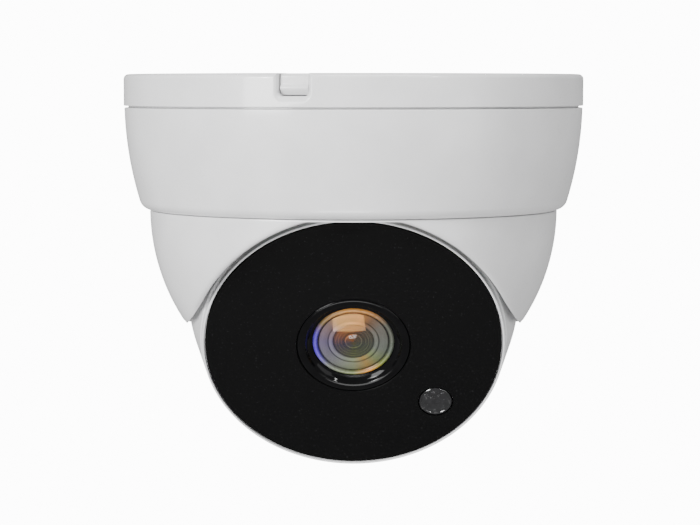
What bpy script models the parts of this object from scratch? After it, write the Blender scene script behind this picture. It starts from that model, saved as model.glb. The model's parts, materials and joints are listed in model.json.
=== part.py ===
"""Turret dome camera: ceiling base, cover ring, swivelling shell, and a ball that tilts and rolls.

The origin is the centre of the ceiling face, +Z points into the ceiling and the ball looks towards -Y.
Sizes are in metres, written as millimetres times MM.
"""
from math import acos, asin, atan2, cos, pi, radians, sin, sqrt

import bmesh
import bpy

MM = 0.001
GAP = 0.3 * MM  # between pieces that touch or fit into each other

# Ball, its window and its attitude
BALL_RADIUS = 40.0 * MM
BALL_WALL = 2.5 * MM
LOOK_DOWN = radians(30.0)  # lens axis below the horizontal as stored
LOOK_HIGHEST = radians(15.0)  # the same at the highest aim
WINDOW_OFFSET = 22.9 * MM  # ball centre to the window's face
WINDOW_THICKNESS = 1.3 * MM
WINDOW_LAND = 4.4 * MM  # ledge under the window's edge
LAND_THICKNESS = 2.2 * MM
GASKET_THICKNESS = 0.5 * MM
RIM_PROUD = 2.2 * MM  # the rim stands this much outside the ball's sphere
RIM_WIDTH = 0.7 * MM
RIM_DEPTH = 1.5 * MM
RIM_STEP = 0.2 * MM  # the rim in front of the window
PARTING = -4.0 * MM  # plane between the housings, along the lens axis
HOUSING_SPIGOT = 3.0 * MM
HOUSING_SPIGOT_WALL = 2.6 * MM
HOUSING_SCREW_CIRCLE = 27.0 * MM
HOUSING_SCREW_SEAT = -24.8 * MM
HOUSING_BOSS_FRONT = -13.0 * MM
HOUSING_BOSS_RADIUS = 3.2 * MM

# Base
PLATE_THICKNESS = 2.5 * MM
BASE_HEIGHT = 7.5 * MM
BASE_OVER_SHELL = 6.1 * MM  # base radius beyond the swivelling shell's
BASE_TOP_ROUND = 1.2 * MM
BASE_LOW_ROUND = 0.6 * MM
SPIGOT_WALL = 2.2 * MM
SPIGOT_LENGTH = 7.0 * MM
GROOVE_DEPTH = 1.3 * MM
CEILING_GASKET_WIDTH = 3.6 * MM
CEILING_GASKET_INSET = 8.0 * MM  # base edge to the gasket's outer edge
CABLE_HOLE_RADIUS = 8.0 * MM
CABLE_HOLE_BACK = 21.0 * MM
CABLE_BORE = 3.3 * MM
FIXING_HOLE_RADIUS = 2.2 * MM
FIXING_CIRCLE = 38.0 * MM

# Side notch for a cable run along the ceiling, and its break-out tab
NOTCH_ANGLE = radians(14.0)  # left of the front
NOTCH_WIDTH = 7.2 * MM
NOTCH_HEIGHT = 5.0 * MM
NOTCH_CORNER = 0.9 * MM
NOTCH_FLARE = 1.3 * MM
TAB_DEPTH = 1.5 * MM
TAB_WALL = 1.5 * MM
TAB_STEP = 0.7 * MM

# Cover ring
SEAM = 0.4 * MM
COVER_WALL = 2.4 * MM
COVER_BULGE = 84.0 * MM  # radius of the side's arc
COVER_BULGE_TOP = 6.0 * MM  # the arc is upright this far below the ceiling
COVER_INSET = 0.1 * MM
COVER_CORNER = 3.0 * MM
LIP_THICKNESS = 2.5 * MM
SEAL_HEIGHT = 1.2 * MM
SEAL_DEPTH = 1.0 * MM
LOCK_SCREW_RADIUS = 1.4 * MM
LOCK_SCREW_LENGTH = 4.0 * MM

# Swivelling shell
SHELL_OVER_BALL = 8.9 * MM
SHELL_WALL = 2.2 * MM
SHELL_ABOVE_BALL = 19.8 * MM  # the shell's own centre above the ball's
SHELL_RIM_WALL = 0.65 * MM  # the wall thins downwards and the rim is where it has this thickness
SOCKET_ABOVE_BALL = 2.0 * MM
SOCKET_GAP = 0.4 * MM
ARCH_INSIDE_BALL = 0.5 * MM  # the front opening's round top, seen from the front, within the ball's outline
ARCH_CENTRE = -19.0 * MM  # its height above the ball's centre
ARCH_BEND = radians(60.0)  # there the outline starts to bend outwards
ARCH_FLANK_RADIUS = 45.0 * MM
NECK_WALL = 2.2 * MM
NECK_INSIDE_SHELL = 3.3 * MM
BOSS_RADIUS = 2.7 * MM
BOSS_LENGTH = 4.6 * MM
BOSS_INTO_NECK = 1.1 * MM

# Glide ring, clamp bracket and pads
GLIDE_THICKNESS = 0.8 * MM
RING_THICKNESS = 2.0 * MM
RING_OVER_NECK = 2.8 * MM
STRAP_CLEARANCE = 0.5 * MM
STRAP_THICKNESS = 1.8 * MM
STRAP_HALF_WIDTH = 14.0 * MM
STRAP_BACK = radians(169.0)
PAD_INNER_EDGE = 9.0 * MM
PAD_OUTER_EDGE = 13.6 * MM
CABLE_ROOM = 5.0 * MM
STOP_WIDTH = 3.0 * MM
STOP_HEIGHT = 2.6 * MM
SCREW_SHANK = 1.2 * MM
SCREW_HEAD = 2.1 * MM
SCREW_HEAD_HEIGHT = 1.3 * MM

# Cable gland and the collar that guides it
GLAND_RADIUS = 5.0 * MM
GLAND_BORE = 3.1 * MM
GLAND_PROUD = 4.0 * MM
COLLAR_RADIUS = 6.6 * MM
COLLAR_FLANGE_RADIUS = 7.9 * MM
COLLAR_FLANGE = 1.2 * MM
COLLAR_PROUD = 3.4 * MM

# Lens, its hood and the light sensor
HOOD_RADIUS = 13.3 * MM
HOOD_THROAT = 11.1 * MM
LENS_RADIUS = 9.9 * MM
LENS_CLEAR_RADIUS = 8.6 * MM
LENS_SET_BACK = 1.4 * MM
HEAD_SET_BACK = 1.7 * MM  # lens front to the barrel's head
LENS_CONE_DEPTH = 2.6 * MM
THREAD_RADIUS = 6.0 * MM
BARREL_BACK = 8.0 * MM
BARREL_BORE = 3.5 * MM
INNER_LENS_RADIUS = 5.0 * MM
INNER_LENS_THICKNESS = 2.6 * MM
INNER_LENS_ROOM = 4.0 * MM  # depth of its bore in the barrel
HOLDER_RADIUS = 8.2 * MM
HOLDER_FRONT = 12.0 * MM
FILTER_RADIUS = 4.6 * MM
FILTER_BACK = 5.6 * MM
FILTER_THICKNESS = 0.7 * MM
SENSOR_PLUG_RADIUS = 3.9 * MM
SENSOR_X = 19.5 * MM
SENSOR_Y = -16.4 * MM

# Boards and LEDs
BOARD_THICKNESS = 1.2 * MM
SQUARE_BOARD = 38.0 * MM
SENSOR_BOARD_S = 1.5 * MM  # back faces, along the lens axis from the ball's centre
MAIN_BOARD_S = -10.5 * MM
POST_RADIUS = 1.8 * MM
POST_INSET = 3.5 * MM
LED_CIRCLE = 25.5 * MM
LED_RADIUS = 3.6 * MM
LED_HEIGHT = 2.4 * MM
LED_FIRST = radians(-10.0)
LED_SCREW_FIRST = radians(20.0)
LAND_HOLE_RADIUS = 1.3 * MM
LED_SCREW_HEAD = 1.6 * MM
LED_SCREW_SHANK = 0.8 * MM
IMAGE_SENSOR = (7.2 * MM, 6.0 * MM, 1.2 * MM)
LIGHT_SENSOR_RADIUS = 2.2 * MM
LIGHT_SENSOR_HEIGHT = 1.8 * MM
SLEEVE_WALL = 0.8 * MM

# Sizes that follow
SWEEP = BALL_RADIUS + RIM_PROUD  # sphere swept by the window's rim
RIM_RADIUS = sqrt(SWEEP**2 - WINDOW_OFFSET**2)
WINDOW_RADIUS = RIM_RADIUS - RIM_WIDTH - 0.1 * MM
STRAP_INNER = SWEEP + STRAP_CLEARANCE
STRAP_OUTER = STRAP_INNER + STRAP_THICKNESS
BALL_Z = -(PLATE_THICKNESS + CABLE_ROOM + STRAP_OUTER)
SHELL_RADIUS = BALL_RADIUS + SHELL_OVER_BALL
SHELL_Z = BALL_Z + SHELL_ABOVE_BALL
SOCKET_RADIUS = BALL_RADIUS + SOCKET_GAP
ARCH_RADIUS = BALL_RADIUS - ARCH_INSIDE_BALL
SHOULDER_Z = SHELL_Z - GAP
BASE_RADIUS = SHELL_RADIUS + BASE_OVER_SHELL
NECK_RADIUS = SHELL_RADIUS - NECK_INSIDE_SHELL
NECK_BORE = NECK_RADIUS - NECK_WALL
LIP_TOP = SHELL_Z + LIP_THICKNESS
RING_Z = LIP_TOP + GLIDE_THICKNESS + 2 * GAP
RING_TOP = RING_Z + RING_THICKNESS
NECK_TOP = RING_Z - GAP
RING_OUTER = NECK_RADIUS + RING_OVER_NECK
RING_INNER = sqrt(STRAP_INNER**2 - (RING_Z - BALL_Z) ** 2) + 0.8 * MM
BOSS_CIRCLE = NECK_BORE - BOSS_RADIUS + BOSS_INTO_NECK
COVER_TOP = -(BASE_HEIGHT + SEAM)
SPIGOT_BOTTOM = -(BASE_HEIGHT + SPIGOT_LENGTH)
LOCK_Z = SPIGOT_BOTTOM + 2.4 * MM
RIM_BACK = WINDOW_OFFSET + RIM_STEP - RIM_DEPTH
HOUSING_FRONT = RIM_BACK - GAP
WINDOW_BACK = WINDOW_OFFSET - WINDOW_THICKNESS
GASKET_BACK = WINDOW_BACK - GAP - GASKET_THICKNESS
LAND_FRONT = GASKET_BACK - GAP
LAND_BACK = LAND_FRONT - LAND_THICKNESS
LAND_BORE = WINDOW_RADIUS - WINDOW_LAND
LED_BOARD_FRONT = LAND_BACK - GAP
LED_BOARD_BACK = LED_BOARD_FRONT - BOARD_THICKNESS
ON_LED_BOARD = LED_BOARD_FRONT + GAP
LENS_FRONT = WINDOW_OFFSET - LENS_SET_BACK

LARGE, MIDDLE, SMALL, TINY = 48, 32, 16, 10  # segments of round pieces, by size


def clear_scene():
    for item in list(bpy.data.objects):
        bpy.data.objects.remove(item)


def material(name, colour, roughness, metallic=0.0, alpha=1.0):
    made = bpy.data.materials.new(name)
    made.use_nodes = True
    shader = made.node_tree.nodes["Principled BSDF"]
    shader.inputs["Base Color"].default_value = (*colour, 1.0)
    shader.inputs["Roughness"].default_value = roughness
    shader.inputs["Metallic"].default_value = metallic
    shader.inputs["Alpha"].default_value = alpha
    return made


# Shapes

def arc(centre, radius, start, end, steps):
    """Points on a circle of the (radius, height) plane, from one angle to another."""
    angles = [start + (end - start) * i / steps for i in range(steps + 1)]
    return [(centre[0] + radius * cos(a), centre[1] + radius * sin(a)) for a in angles]


def on_circle(radius, angle):
    return radius * cos(angle), radius * sin(angle)


def finish(name, bm, look=None, parent=None, smooth=35.0):
    """Turns a bmesh into a named object whose faces point out."""
    bmesh.ops.remove_doubles(bm, verts=bm.verts, dist=1e-7)
    bmesh.ops.recalc_face_normals(bm, faces=bm.faces)
    mesh = bpy.data.meshes.new(name)
    bm.to_mesh(mesh)
    bm.free()
    mesh.shade_smooth()
    mesh.set_sharp_from_angle(angle=radians(smooth))
    made = bpy.data.objects.new(name, mesh)
    bpy.context.scene.collection.objects.link(made)
    if look:
        mesh.materials.append(look)
    made.parent = parent
    return made


def turned(name, profile, look=None, segments=MIDDLE, parent=None):
    """Spins an outline of (radius, height) points about Z; it may start and end on the axis."""
    bm = bmesh.new()
    points = [bm.verts.new((r, 0.0, z)) for r, z in profile]
    edges = [bm.edges.new(pair) for pair in zip(points, points[1:])]
    if max(profile[0][0], profile[-1][0]) > 1e-6:
        edges.append(bm.edges.new((points[-1], points[0])))
    bmesh.ops.spin(bm, geom=points + edges, cent=(0, 0, 0), axis=(0, 0, 1), angle=2 * pi,
                   steps=segments, use_merge=True)
    bmesh.ops.remove_doubles(bm, verts=bm.verts, dist=1e-7)
    bmesh.ops.dissolve_degenerate(bm, edges=bm.edges, dist=1e-8)
    return finish(name, bm, look, parent)


def extruded(name, corners, along, look=None, parent=None):
    """A flat outline of 3D corners, extruded along a vector."""
    bm = bmesh.new()
    face = bm.faces.new([bm.verts.new(corner) for corner in corners])
    grown = bmesh.ops.extrude_face_region(bm, geom=[face])["geom"]
    moved = [item for item in grown if isinstance(item, bmesh.types.BMVert)]
    bmesh.ops.translate(bm, verts=moved, vec=along)
    return finish(name, bm, look, parent)


def box(name, low, high, look=None, parent=None):
    corners = [(low[0], low[1]), (high[0], low[1]), (high[0], high[1]), (low[0], high[1])]
    return extruded(name, [(x, y, low[2]) for x, y in corners], (0, 0, high[2] - low[2]), look, parent)


def cylinder(name, radius, low, high, look=None, segments=SMALL, parent=None):
    profile = [(0.0, low), (radius, low), (radius, high), (0.0, high)]
    return turned(name, profile, look, segments, parent)


def tube(name, inner, outer, low, high, look=None, segments=MIDDLE, parent=None):
    profile = [(inner, low), (outer, low), (outer, high), (inner, high)]
    return turned(name, profile, look, segments, parent)


def patch(name, radii, across, angles, look=None, parent=None, steps=(4, 12)):
    """A piece of a thick sphere; angles run from the front over the top to the back."""
    bm = bmesh.new()
    layers = []
    for radius in radii:
        rows = []
        for i in range(steps[0] + 1):
            x = across[0] + (across[1] - across[0]) * i / steps[0]
            reach = sqrt(radius**2 - x**2)
            turns = [angles[0] + (angles[1] - angles[0]) * j / steps[1] for j in range(steps[1] + 1)]
            rows.append([bm.verts.new((x, -reach * cos(t), reach * sin(t))) for t in turns])
        layers.append(rows)
    low, high = layers
    for i in range(steps[0]):
        for j in range(steps[1]):
            for rows in layers:
                bm.faces.new((rows[i][j], rows[i + 1][j], rows[i + 1][j + 1], rows[i][j + 1]))
        for j in (0, steps[1]):
            bm.faces.new((low[i][j], low[i + 1][j], high[i + 1][j], high[i][j]))
    for i in (0, steps[0]):
        for j in range(steps[1]):
            bm.faces.new((low[i][j], low[i][j + 1], high[i][j + 1], high[i][j]))
    return finish(name, bm, look, parent)


def lofted(name, sections, look=None, parent=None):
    """Joins equal outlines of 3D points one after another and caps the ends."""
    bm = bmesh.new()
    loops = [[bm.verts.new(point) for point in section] for section in sections]
    for low, high in zip(loops, loops[1:]):
        for i in range(len(low)):
            k = (i + 1) % len(low)
            bm.faces.new((low[i], low[k], high[k], high[i]))
    bm.faces.new(loops[0])
    bm.faces.new(loops[-1])
    return finish(name, bm, look, parent)


def place(made, location=(0.0, 0.0, 0.0), rotation=(0.0, 0.0, 0.0)):
    made.location = location
    made.rotation_euler = rotation
    return made


def combine(target, tool, operation="DIFFERENCE"):
    """A live exact Boolean; its tool stays as a hidden wire."""
    tool.hide_render = True
    tool.display_type = "WIRE"
    modifier = target.modifiers.new(operation.title(), "BOOLEAN")
    modifier.object = tool
    modifier.operation = operation
    modifier.solver = "EXACT"


def empty(name, location, rotation=(0.0, 0.0, 0.0), parent=None):
    made = bpy.data.objects.new(name, None)
    made.empty_display_size = 0.01
    bpy.context.scene.collection.objects.link(made)
    made.parent = parent
    return place(made, location, rotation)


# Outlines shared by pieces that fit together

def cover_radius(z):
    """Outside radius of the cover ring at a height."""
    down = -z - COVER_BULGE_TOP
    return BASE_RADIUS - COVER_INSET - COVER_BULGE + sqrt(COVER_BULGE**2 - down**2)


def spigot_radius():
    return cover_radius(SPIGOT_BOTTOM) - COVER_WALL - GAP


def rim_below_ball():
    """How far below the ball's centre the shell's wall has thinned to its rim."""
    above, below = 0.0, BALL_RADIUS
    for _ in range(30):
        middle = (above + below) / 2
        outside = sqrt(max(SHELL_RADIUS**2 - (SHELL_ABOVE_BALL + middle) ** 2, 0.0))
        if outside - sqrt(SOCKET_RADIUS**2 - middle**2) > SHELL_RIM_WALL:
            above = middle
        else:
            below = middle
    return above


def ball_outside(s):
    """Outside radius of the ball's body along the lens axis: a sphere, then a tangent cone."""
    rim_angle = atan2(RIM_RADIUS, WINDOW_OFFSET)
    tangent = rim_angle + acos(BALL_RADIUS / SWEEP)
    start = BALL_RADIUS * cos(tangent)
    if s <= start:
        return sqrt(BALL_RADIUS**2 - s**2)
    share = (s - start) / (WINDOW_OFFSET - start)
    return BALL_RADIUS * sin(tangent) * (1 - share) + RIM_RADIUS * share


def ball_cone_start():
    rim_angle = atan2(RIM_RADIUS, WINDOW_OFFSET)
    return BALL_RADIUS * cos(rim_angle + acos(BALL_RADIUS / SWEEP))


# Pieces fixed to the ceiling

def make_base_plate(look):
    spigot = spigot_radius()
    groove_top = COVER_TOP - 0.5 * MM
    groove_low = groove_top - SEAL_HEIGHT - 2 * GAP
    gasket_outer = BASE_RADIUS - CEILING_GASKET_INSET + GAP
    gasket_inner = gasket_outer - CEILING_GASKET_WIDTH - 2 * GAP
    top = (BASE_RADIUS - BASE_TOP_ROUND, -BASE_TOP_ROUND)
    low = (BASE_RADIUS - BASE_LOW_ROUND, -BASE_HEIGHT + BASE_LOW_ROUND)
    profile = [(0.0, 0.0), (gasket_inner, 0.0), (gasket_inner, -GROOVE_DEPTH)]
    profile += [(gasket_outer, -GROOVE_DEPTH), (gasket_outer, 0.0)]
    profile += arc(top, BASE_TOP_ROUND, pi / 2, 0.0, 3)
    profile += arc(low, BASE_LOW_ROUND, 0.0, -pi / 2, 2)
    profile += [(spigot, -BASE_HEIGHT), (spigot, groove_top), (spigot - SEAL_DEPTH, groove_top)]
    profile += [(spigot - SEAL_DEPTH, groove_low), (spigot, groove_low), (spigot, SPIGOT_BOTTOM)]
    profile += [(spigot - SPIGOT_WALL, SPIGOT_BOTTOM), (spigot - SPIGOT_WALL, -PLATE_THICKNESS)]
    profile += [(0.0, -PLATE_THICKNESS)]
    plate = turned("base_plate", profile, look, LARGE)

    hole = cylinder("cable_hole_cutter", CABLE_HOLE_RADIUS, -2 * BASE_HEIGHT, BASE_HEIGHT, segments=24)
    combine(plate, place(hole, (0.0, CABLE_HOLE_BACK, 0.0)))
    for index, angle in enumerate((pi / 6, 5 * pi / 6, 3 * pi / 2)):
        x, y = on_circle(FIXING_CIRCLE, angle)
        hole = cylinder(f"fixing_hole_{index + 1}_cutter", FIXING_HOLE_RADIUS, -BASE_HEIGHT,
                        BASE_HEIGHT, segments=TINY)
        combine(plate, place(hole, (x, y, 0.0)))
    combine(plate, lock_screw_cutter("base_lock_cutter"))
    combine(plate, place(notch_cutter(), rotation=(0.0, 0.0, -NOTCH_ANGLE)))


def notch_section(y, grown):
    """The notch's outline at a distance from the axis, with a lip that flares towards the outside."""
    half = NOTCH_WIDTH / 2 + grown
    corner = NOTCH_CORNER + grown
    bottom = -NOTCH_HEIGHT - 0.75 * grown
    left = arc((-half + corner, bottom + corner), corner, pi, 1.5 * pi, 3)
    right = arc((half - corner, bottom + corner), corner, 1.5 * pi, 2 * pi, 3)
    outline = [(-half, BASE_HEIGHT)] + left + right + [(half, BASE_HEIGHT)]
    return [(x, y, z) for x, z in outline]


def notch_cutter():
    flare = [(NOTCH_FLARE * (1 - cos(a)), NOTCH_FLARE * (1 - sin(a)))
             for a in (pi / 2, pi / 3, pi / 6, 0.0)]
    sections = [notch_section(-(BASE_RADIUS + 2 * MM), flare[0][0])]
    sections += [notch_section(-(BASE_RADIUS - back), grown) for grown, back in flare]
    sections += [notch_section(-(spigot_radius() - SPIGOT_WALL - 2 * MM), 0.0)]
    return lofted("notch_cutter", sections)


def make_cable_slot_cover(look):
    front = -(BASE_RADIUS - TAB_DEPTH)
    back = front + TAB_WALL + TAB_STEP
    half = NOTCH_WIDTH / 2 - GAP
    bottom = -NOTCH_HEIGHT + GAP
    step = -0.62 * NOTCH_HEIGHT
    side = [(back, -0.1 * MM), (front + 0.5 * MM, -0.1 * MM), (front, -0.7 * MM), (front, step)]
    side += [(front + TAB_STEP, step - 0.6 * MM), (front + TAB_STEP, bottom), (back, bottom)]
    corners = [(-half, y, z) for y, z in side]
    tab = extruded("cable_slot_cover", corners, (2 * half, 0.0, 0.0), look)
    bevel = tab.modifiers.new("Edges", "BEVEL")
    bevel.width = 0.25 * MM
    bevel.segments = 1
    bevel.limit_method = "ANGLE"
    place(tab, rotation=(0.0, 0.0, -NOTCH_ANGLE))


def make_base_seals(foam, rubber):
    outer = BASE_RADIUS - CEILING_GASKET_INSET
    tube("ceiling_gasket", outer - CEILING_GASKET_WIDTH, outer, -GROOVE_DEPTH + GAP, -0.1 * MM, foam)
    spigot = spigot_radius()
    seal_top = COVER_TOP - 0.5 * MM - GAP
    tube("cover_seal", spigot - SEAL_DEPTH + GAP, spigot, seal_top - SEAL_HEIGHT, seal_top, rubber)
    neck = CABLE_HOLE_RADIUS - GAP
    flange = CABLE_HOLE_RADIUS + 1.8 * MM
    under = -PLATE_THICKNESS - GAP
    profile = [(CABLE_BORE, -GAP), (neck, -GAP), (neck, under), (flange, under)]
    profile += [(flange, under - 1.4 * MM), (CABLE_BORE, under - 1.4 * MM)]
    grommet = turned("cable_grommet", profile, rubber, 24)
    place(grommet, (0.0, CABLE_HOLE_BACK, 0.0))


def make_cover_ring(look):
    lean = 0.0
    for _ in range(6):
        down = -(SHELL_Z + COVER_CORNER * (1 - sin(lean))) - COVER_BULGE_TOP
        lean = asin(down / COVER_BULGE)
    side_low = SHELL_Z + COVER_CORNER * (1 - sin(lean))
    edge = 0.4 * MM
    side_top = COVER_TOP - edge
    heights = [side_top + (side_low - side_top) * i / 5 for i in range(5)]
    profile = [(cover_radius(side_top) - edge, COVER_TOP)]
    profile += [(cover_radius(z), z) for z in heights]
    centre = (cover_radius(side_low) - COVER_CORNER * cos(lean), SHELL_Z + COVER_CORNER)
    profile += arc(centre, COVER_CORNER, -lean, -pi / 2, 3)
    profile += [(NECK_RADIUS + GAP, SHELL_Z), (NECK_RADIUS + GAP, LIP_TOP)]
    walls = [LIP_TOP + (COVER_TOP - LIP_TOP) * i / 2 for i in range(3)]
    profile += [(cover_radius(z) - COVER_WALL, z) for z in walls]
    ring = turned("cover_ring", profile, look, LARGE)
    half = STOP_WIDTH / 2
    stop_low = RING_TOP + 2 * GAP
    wall = cover_radius(stop_low) - COVER_WALL / 2
    stop = box("pan_stop", (-half, -wall, stop_low),
               (half, -(RING_OUTER - 1.8 * MM), stop_low + STOP_HEIGHT))
    combine(ring, stop, "UNION")
    combine(ring, lock_screw_cutter("cover_lock_cutter"))


def lock_screw_cutter(name):
    cutter = cylinder(name, LOCK_SCREW_RADIUS + GAP, spigot_radius() - 2 * SPIGOT_WALL,
                      BASE_RADIUS + 2 * MM, segments=TINY)
    return place(cutter, (0.0, 0.0, LOCK_Z), (-pi / 2, 0.0, 0.0))


def make_cover_lock_screw(look):
    head = cover_radius(LOCK_Z) - 0.9 * MM
    screw = cylinder("cover_lock_screw", LOCK_SCREW_RADIUS, head - LOCK_SCREW_LENGTH, head, look, TINY)
    place(screw, (0.0, 0.0, LOCK_Z), (-pi / 2, 0.0, 0.0))
    key = cylinder("lock_key_cutter", 0.85 * MM, head - 1.6 * MM, head + 1 * MM, segments=6)
    combine(screw, place(key, (0.0, 0.0, LOCK_Z), (-pi / 2, 0.0, 0.0)))


def make_glide_ring(look):
    low = LIP_TOP + GAP
    tube("pan_glide_ring", NECK_RADIUS + GAP, RING_OUTER - 0.3 * MM, low, low + GLIDE_THICKNESS, look)


# Pieces that swivel

def make_swivel_shell(look, pan):
    inner = SHELL_RADIUS - SHELL_WALL
    edge = 0.3 * MM
    ledge_z = BALL_Z + SOCKET_ABOVE_BALL
    rim_drop = rim_below_ball()
    rim_z = BALL_Z - rim_drop
    centre, ball = (0.0, SHELL_Z), (0.0, BALL_Z)
    rim_angle = asin((rim_z + edge - SHELL_Z) / SHELL_RADIUS)
    outside = arc(centre, SHELL_RADIUS, asin((SHOULDER_Z - edge - SHELL_Z) / SHELL_RADIUS), rim_angle, 7)
    rim_radius = sqrt(SHELL_RADIUS**2 - (rim_z - SHELL_Z) ** 2)
    roof_z = SHELL_Z - SHELL_WALL - GAP
    profile = [(NECK_RADIUS, NECK_TOP), (NECK_RADIUS, SHOULDER_Z), (SHELL_RADIUS - edge, SHOULDER_Z)]
    profile += outside + [(rim_radius - edge, rim_z)]
    socket_start, socket_end = -asin(rim_drop / SOCKET_RADIUS), asin(SOCKET_ABOVE_BALL / SOCKET_RADIUS)
    profile += arc(ball, SOCKET_RADIUS, socket_start, socket_end, 2)
    profile += arc(centre, inner, asin((ledge_z - SHELL_Z) / inner), asin((roof_z - SHELL_Z) / inner), 3)
    profile += [(NECK_BORE, roof_z + 0.3 * MM), (NECK_BORE, NECK_TOP)]
    shell = turned("swivel_shell", profile, look, LARGE, pan)

    for index, angle in enumerate(screw_angles()):
        x, y = on_circle(BOSS_CIRCLE, angle)
        boss = cylinder(f"boss_{index + 1}", BOSS_RADIUS, NECK_TOP - 0.2 * MM - BOSS_LENGTH,
                        NECK_TOP - 0.2 * MM, segments=TINY, parent=pan)
        combine(shell, place(boss, (x, y, 0.0)), "UNION")
    for index, angle in enumerate(screw_angles()):
        x, y = on_circle(BOSS_CIRCLE, angle)
        hole = cylinder(f"boss_hole_{index + 1}", SCREW_SHANK + GAP, NECK_TOP - 2 * BOSS_LENGTH,
                        NECK_TOP + 1 * MM, segments=TINY, parent=pan)
        combine(shell, place(hole, (x, y, 0.0)))

    combine(shell, place(relief_cutter(pan), (0.0, 0.0, BALL_Z), (pi / 2 + LOOK_HIGHEST, 0.0, 0.0)))
    combine(shell, arch_cutter(pan))


def relief_cutter(pan):
    """Room for the ball's front at its highest aim: its cone, then the sphere that its rim sweeps."""
    start = ball_cone_start()
    reach = SWEEP + SOCKET_GAP
    rim = atan2(WINDOW_OFFSET, RIM_RADIUS)
    cap = arc((0.0, 0.0), reach, rim, pi / 2, 6)
    profile = [(0.0, start), (ball_outside(start) + 0.75 * SOCKET_GAP, start)]
    profile += cap[:-1] + [(0.0, reach)]
    return turned("relief_cutter", profile, None, LARGE, pan)


def arch_cutter(pan):
    """The front opening's outline, extruded forwards: a round top whose flanks bend outwards to the rim."""
    rim = -rim_below_ball() - 0.05 * MM
    top = SHOULDER_Z - BALL_Z + 0.15 * MM
    knee_x = ARCH_RADIUS * sin(ARCH_BEND)
    knee_z = ARCH_CENTRE + ARCH_RADIUS * cos(ARCH_BEND)
    flank_centre = (knee_x + ARCH_FLANK_RADIUS * sin(ARCH_BEND), knee_z + ARCH_FLANK_RADIUS * cos(ARCH_BEND))
    last = acos(cos(ARCH_BEND) + (knee_z - rim) / ARCH_FLANK_RADIUS)
    side = arc(flank_centre, ARCH_FLANK_RADIUS, -pi / 2 - last, -pi / 2 - ARCH_BEND, 6)
    crown_end = asin((top - ARCH_CENTRE) / ARCH_RADIUS)
    side = [(side[0][0], -BALL_RADIUS)] + side[:-1]
    side += arc((0.0, ARCH_CENTRE), ARCH_RADIUS, pi / 2 - ARCH_BEND, crown_end, 10)
    outline = side + [(-x, z) for x, z in reversed(side)]
    corners = [(x, 0.0, BALL_Z + z) for x, z in outline]
    return extruded("arch_cutter", corners, (0.0, -1.5 * SHELL_RADIUS, 0.0), None, pan)


def screw_angles():
    return [radians(45 + 90 * i) for i in range(4)]


def make_clamp_bracket(look, pan):
    bracket = tube("clamp_bracket", RING_INNER, RING_OUTER, RING_Z, RING_TOP, look, LARGE, pan)
    front = asin((RING_Z + RING_THICKNESS / 4 - BALL_Z) / STRAP_INNER)
    strap = patch("strap", (STRAP_INNER, STRAP_OUTER), (-STRAP_HALF_WIDTH, STRAP_HALF_WIDTH),
                  (front, STRAP_BACK), None, pan, (4, 12))
    combine(bracket, place(strap, (0.0, 0.0, BALL_Z)), "UNION")
    half = COLLAR_RADIUS + GAP
    slot_front = pi / 2 - asin(half / STRAP_INNER)
    slot = patch("slot_cutter", (0.7 * BALL_RADIUS, STRAP_OUTER + 0.7 * MM), (-half, half),
                 (slot_front, radians(176.0)), None, pan, (2, 12))
    combine(bracket, place(slot, (0.0, 0.0, BALL_Z)))
    tab_half = STOP_WIDTH / 2
    tab = box("stop_tab", (-tab_half, RING_OUTER - 3.2 * MM, RING_Z + RING_THICKNESS / 2),
              (tab_half, RING_OUTER - 0.4 * MM, RING_TOP + STOP_HEIGHT), None, pan)
    combine(bracket, tab, "UNION")
    for index, angle in enumerate(screw_angles()):
        x, y = on_circle(BOSS_CIRCLE, angle)
        hole = cylinder(f"bracket_hole_{index + 1}", SCREW_SHANK + GAP, RING_Z - 1 * MM,
                        RING_TOP + 1 * MM, segments=TINY, parent=pan)
        combine(bracket, place(hole, (x, y, 0.0)))


def screw(name, look, seat, length, parent, up=1.0):
    """A pan head screw on the local Z axis: the head starts at its seat, the shank goes back from it."""
    profile = [(0.0, seat - up * length), (SCREW_SHANK, seat - up * length), (SCREW_SHANK, seat)]
    profile += [(SCREW_HEAD, seat), (SCREW_HEAD, seat + up * 0.7 * SCREW_HEAD_HEIGHT)]
    profile += [(0.7 * SCREW_HEAD, seat + up * SCREW_HEAD_HEIGHT), (0.0, seat + up * SCREW_HEAD_HEIGHT)]
    return turned(name, profile, look, TINY, parent)


def make_bracket_screws(look, pan):
    for index, angle in enumerate(screw_angles()):
        made = screw(f"bracket_screw_{index + 1}", look, RING_TOP + GAP, RING_THICKNESS + BOSS_LENGTH, pan)
        place(made, (*on_circle(BOSS_CIRCLE, angle), 0.0))


def make_friction_pads(look, pan):
    radii = (BALL_RADIUS + GAP, STRAP_INNER - GAP)
    side = (radians(64.0), radians(112.0))
    pads = {
        "left": ((-PAD_OUTER_EDGE, -PAD_INNER_EDGE), side, (1, 5)),
        "right": ((PAD_INNER_EDGE, PAD_OUTER_EDGE), side, (1, 5)),
        "front": ((-0.55 * PAD_INNER_EDGE, 0.55 * PAD_INNER_EDGE), (radians(63.0), radians(75.0)), (2, 3)),
    }
    for where, (across, angles, steps) in pads.items():
        made = patch(f"friction_pad_{where}", radii, across, angles, look, pan, steps)
        place(made, (0.0, 0.0, BALL_Z))


# The sliding collar and the ball; their local Z is the lens axis

def make_guide_collar(look, tilt):
    bore = GLAND_RADIUS + GAP
    seat = -(BALL_RADIUS + GAP)
    end = -(BALL_RADIUS + COLLAR_PROUD)
    profile = [(bore, seat), (COLLAR_FLANGE_RADIUS, seat), (COLLAR_FLANGE_RADIUS, seat - COLLAR_FLANGE)]
    profile += [(COLLAR_RADIUS, seat - COLLAR_FLANGE), (COLLAR_RADIUS, end), (bore, end)]
    turned("guide_collar", profile, look, 24, tilt)


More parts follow.
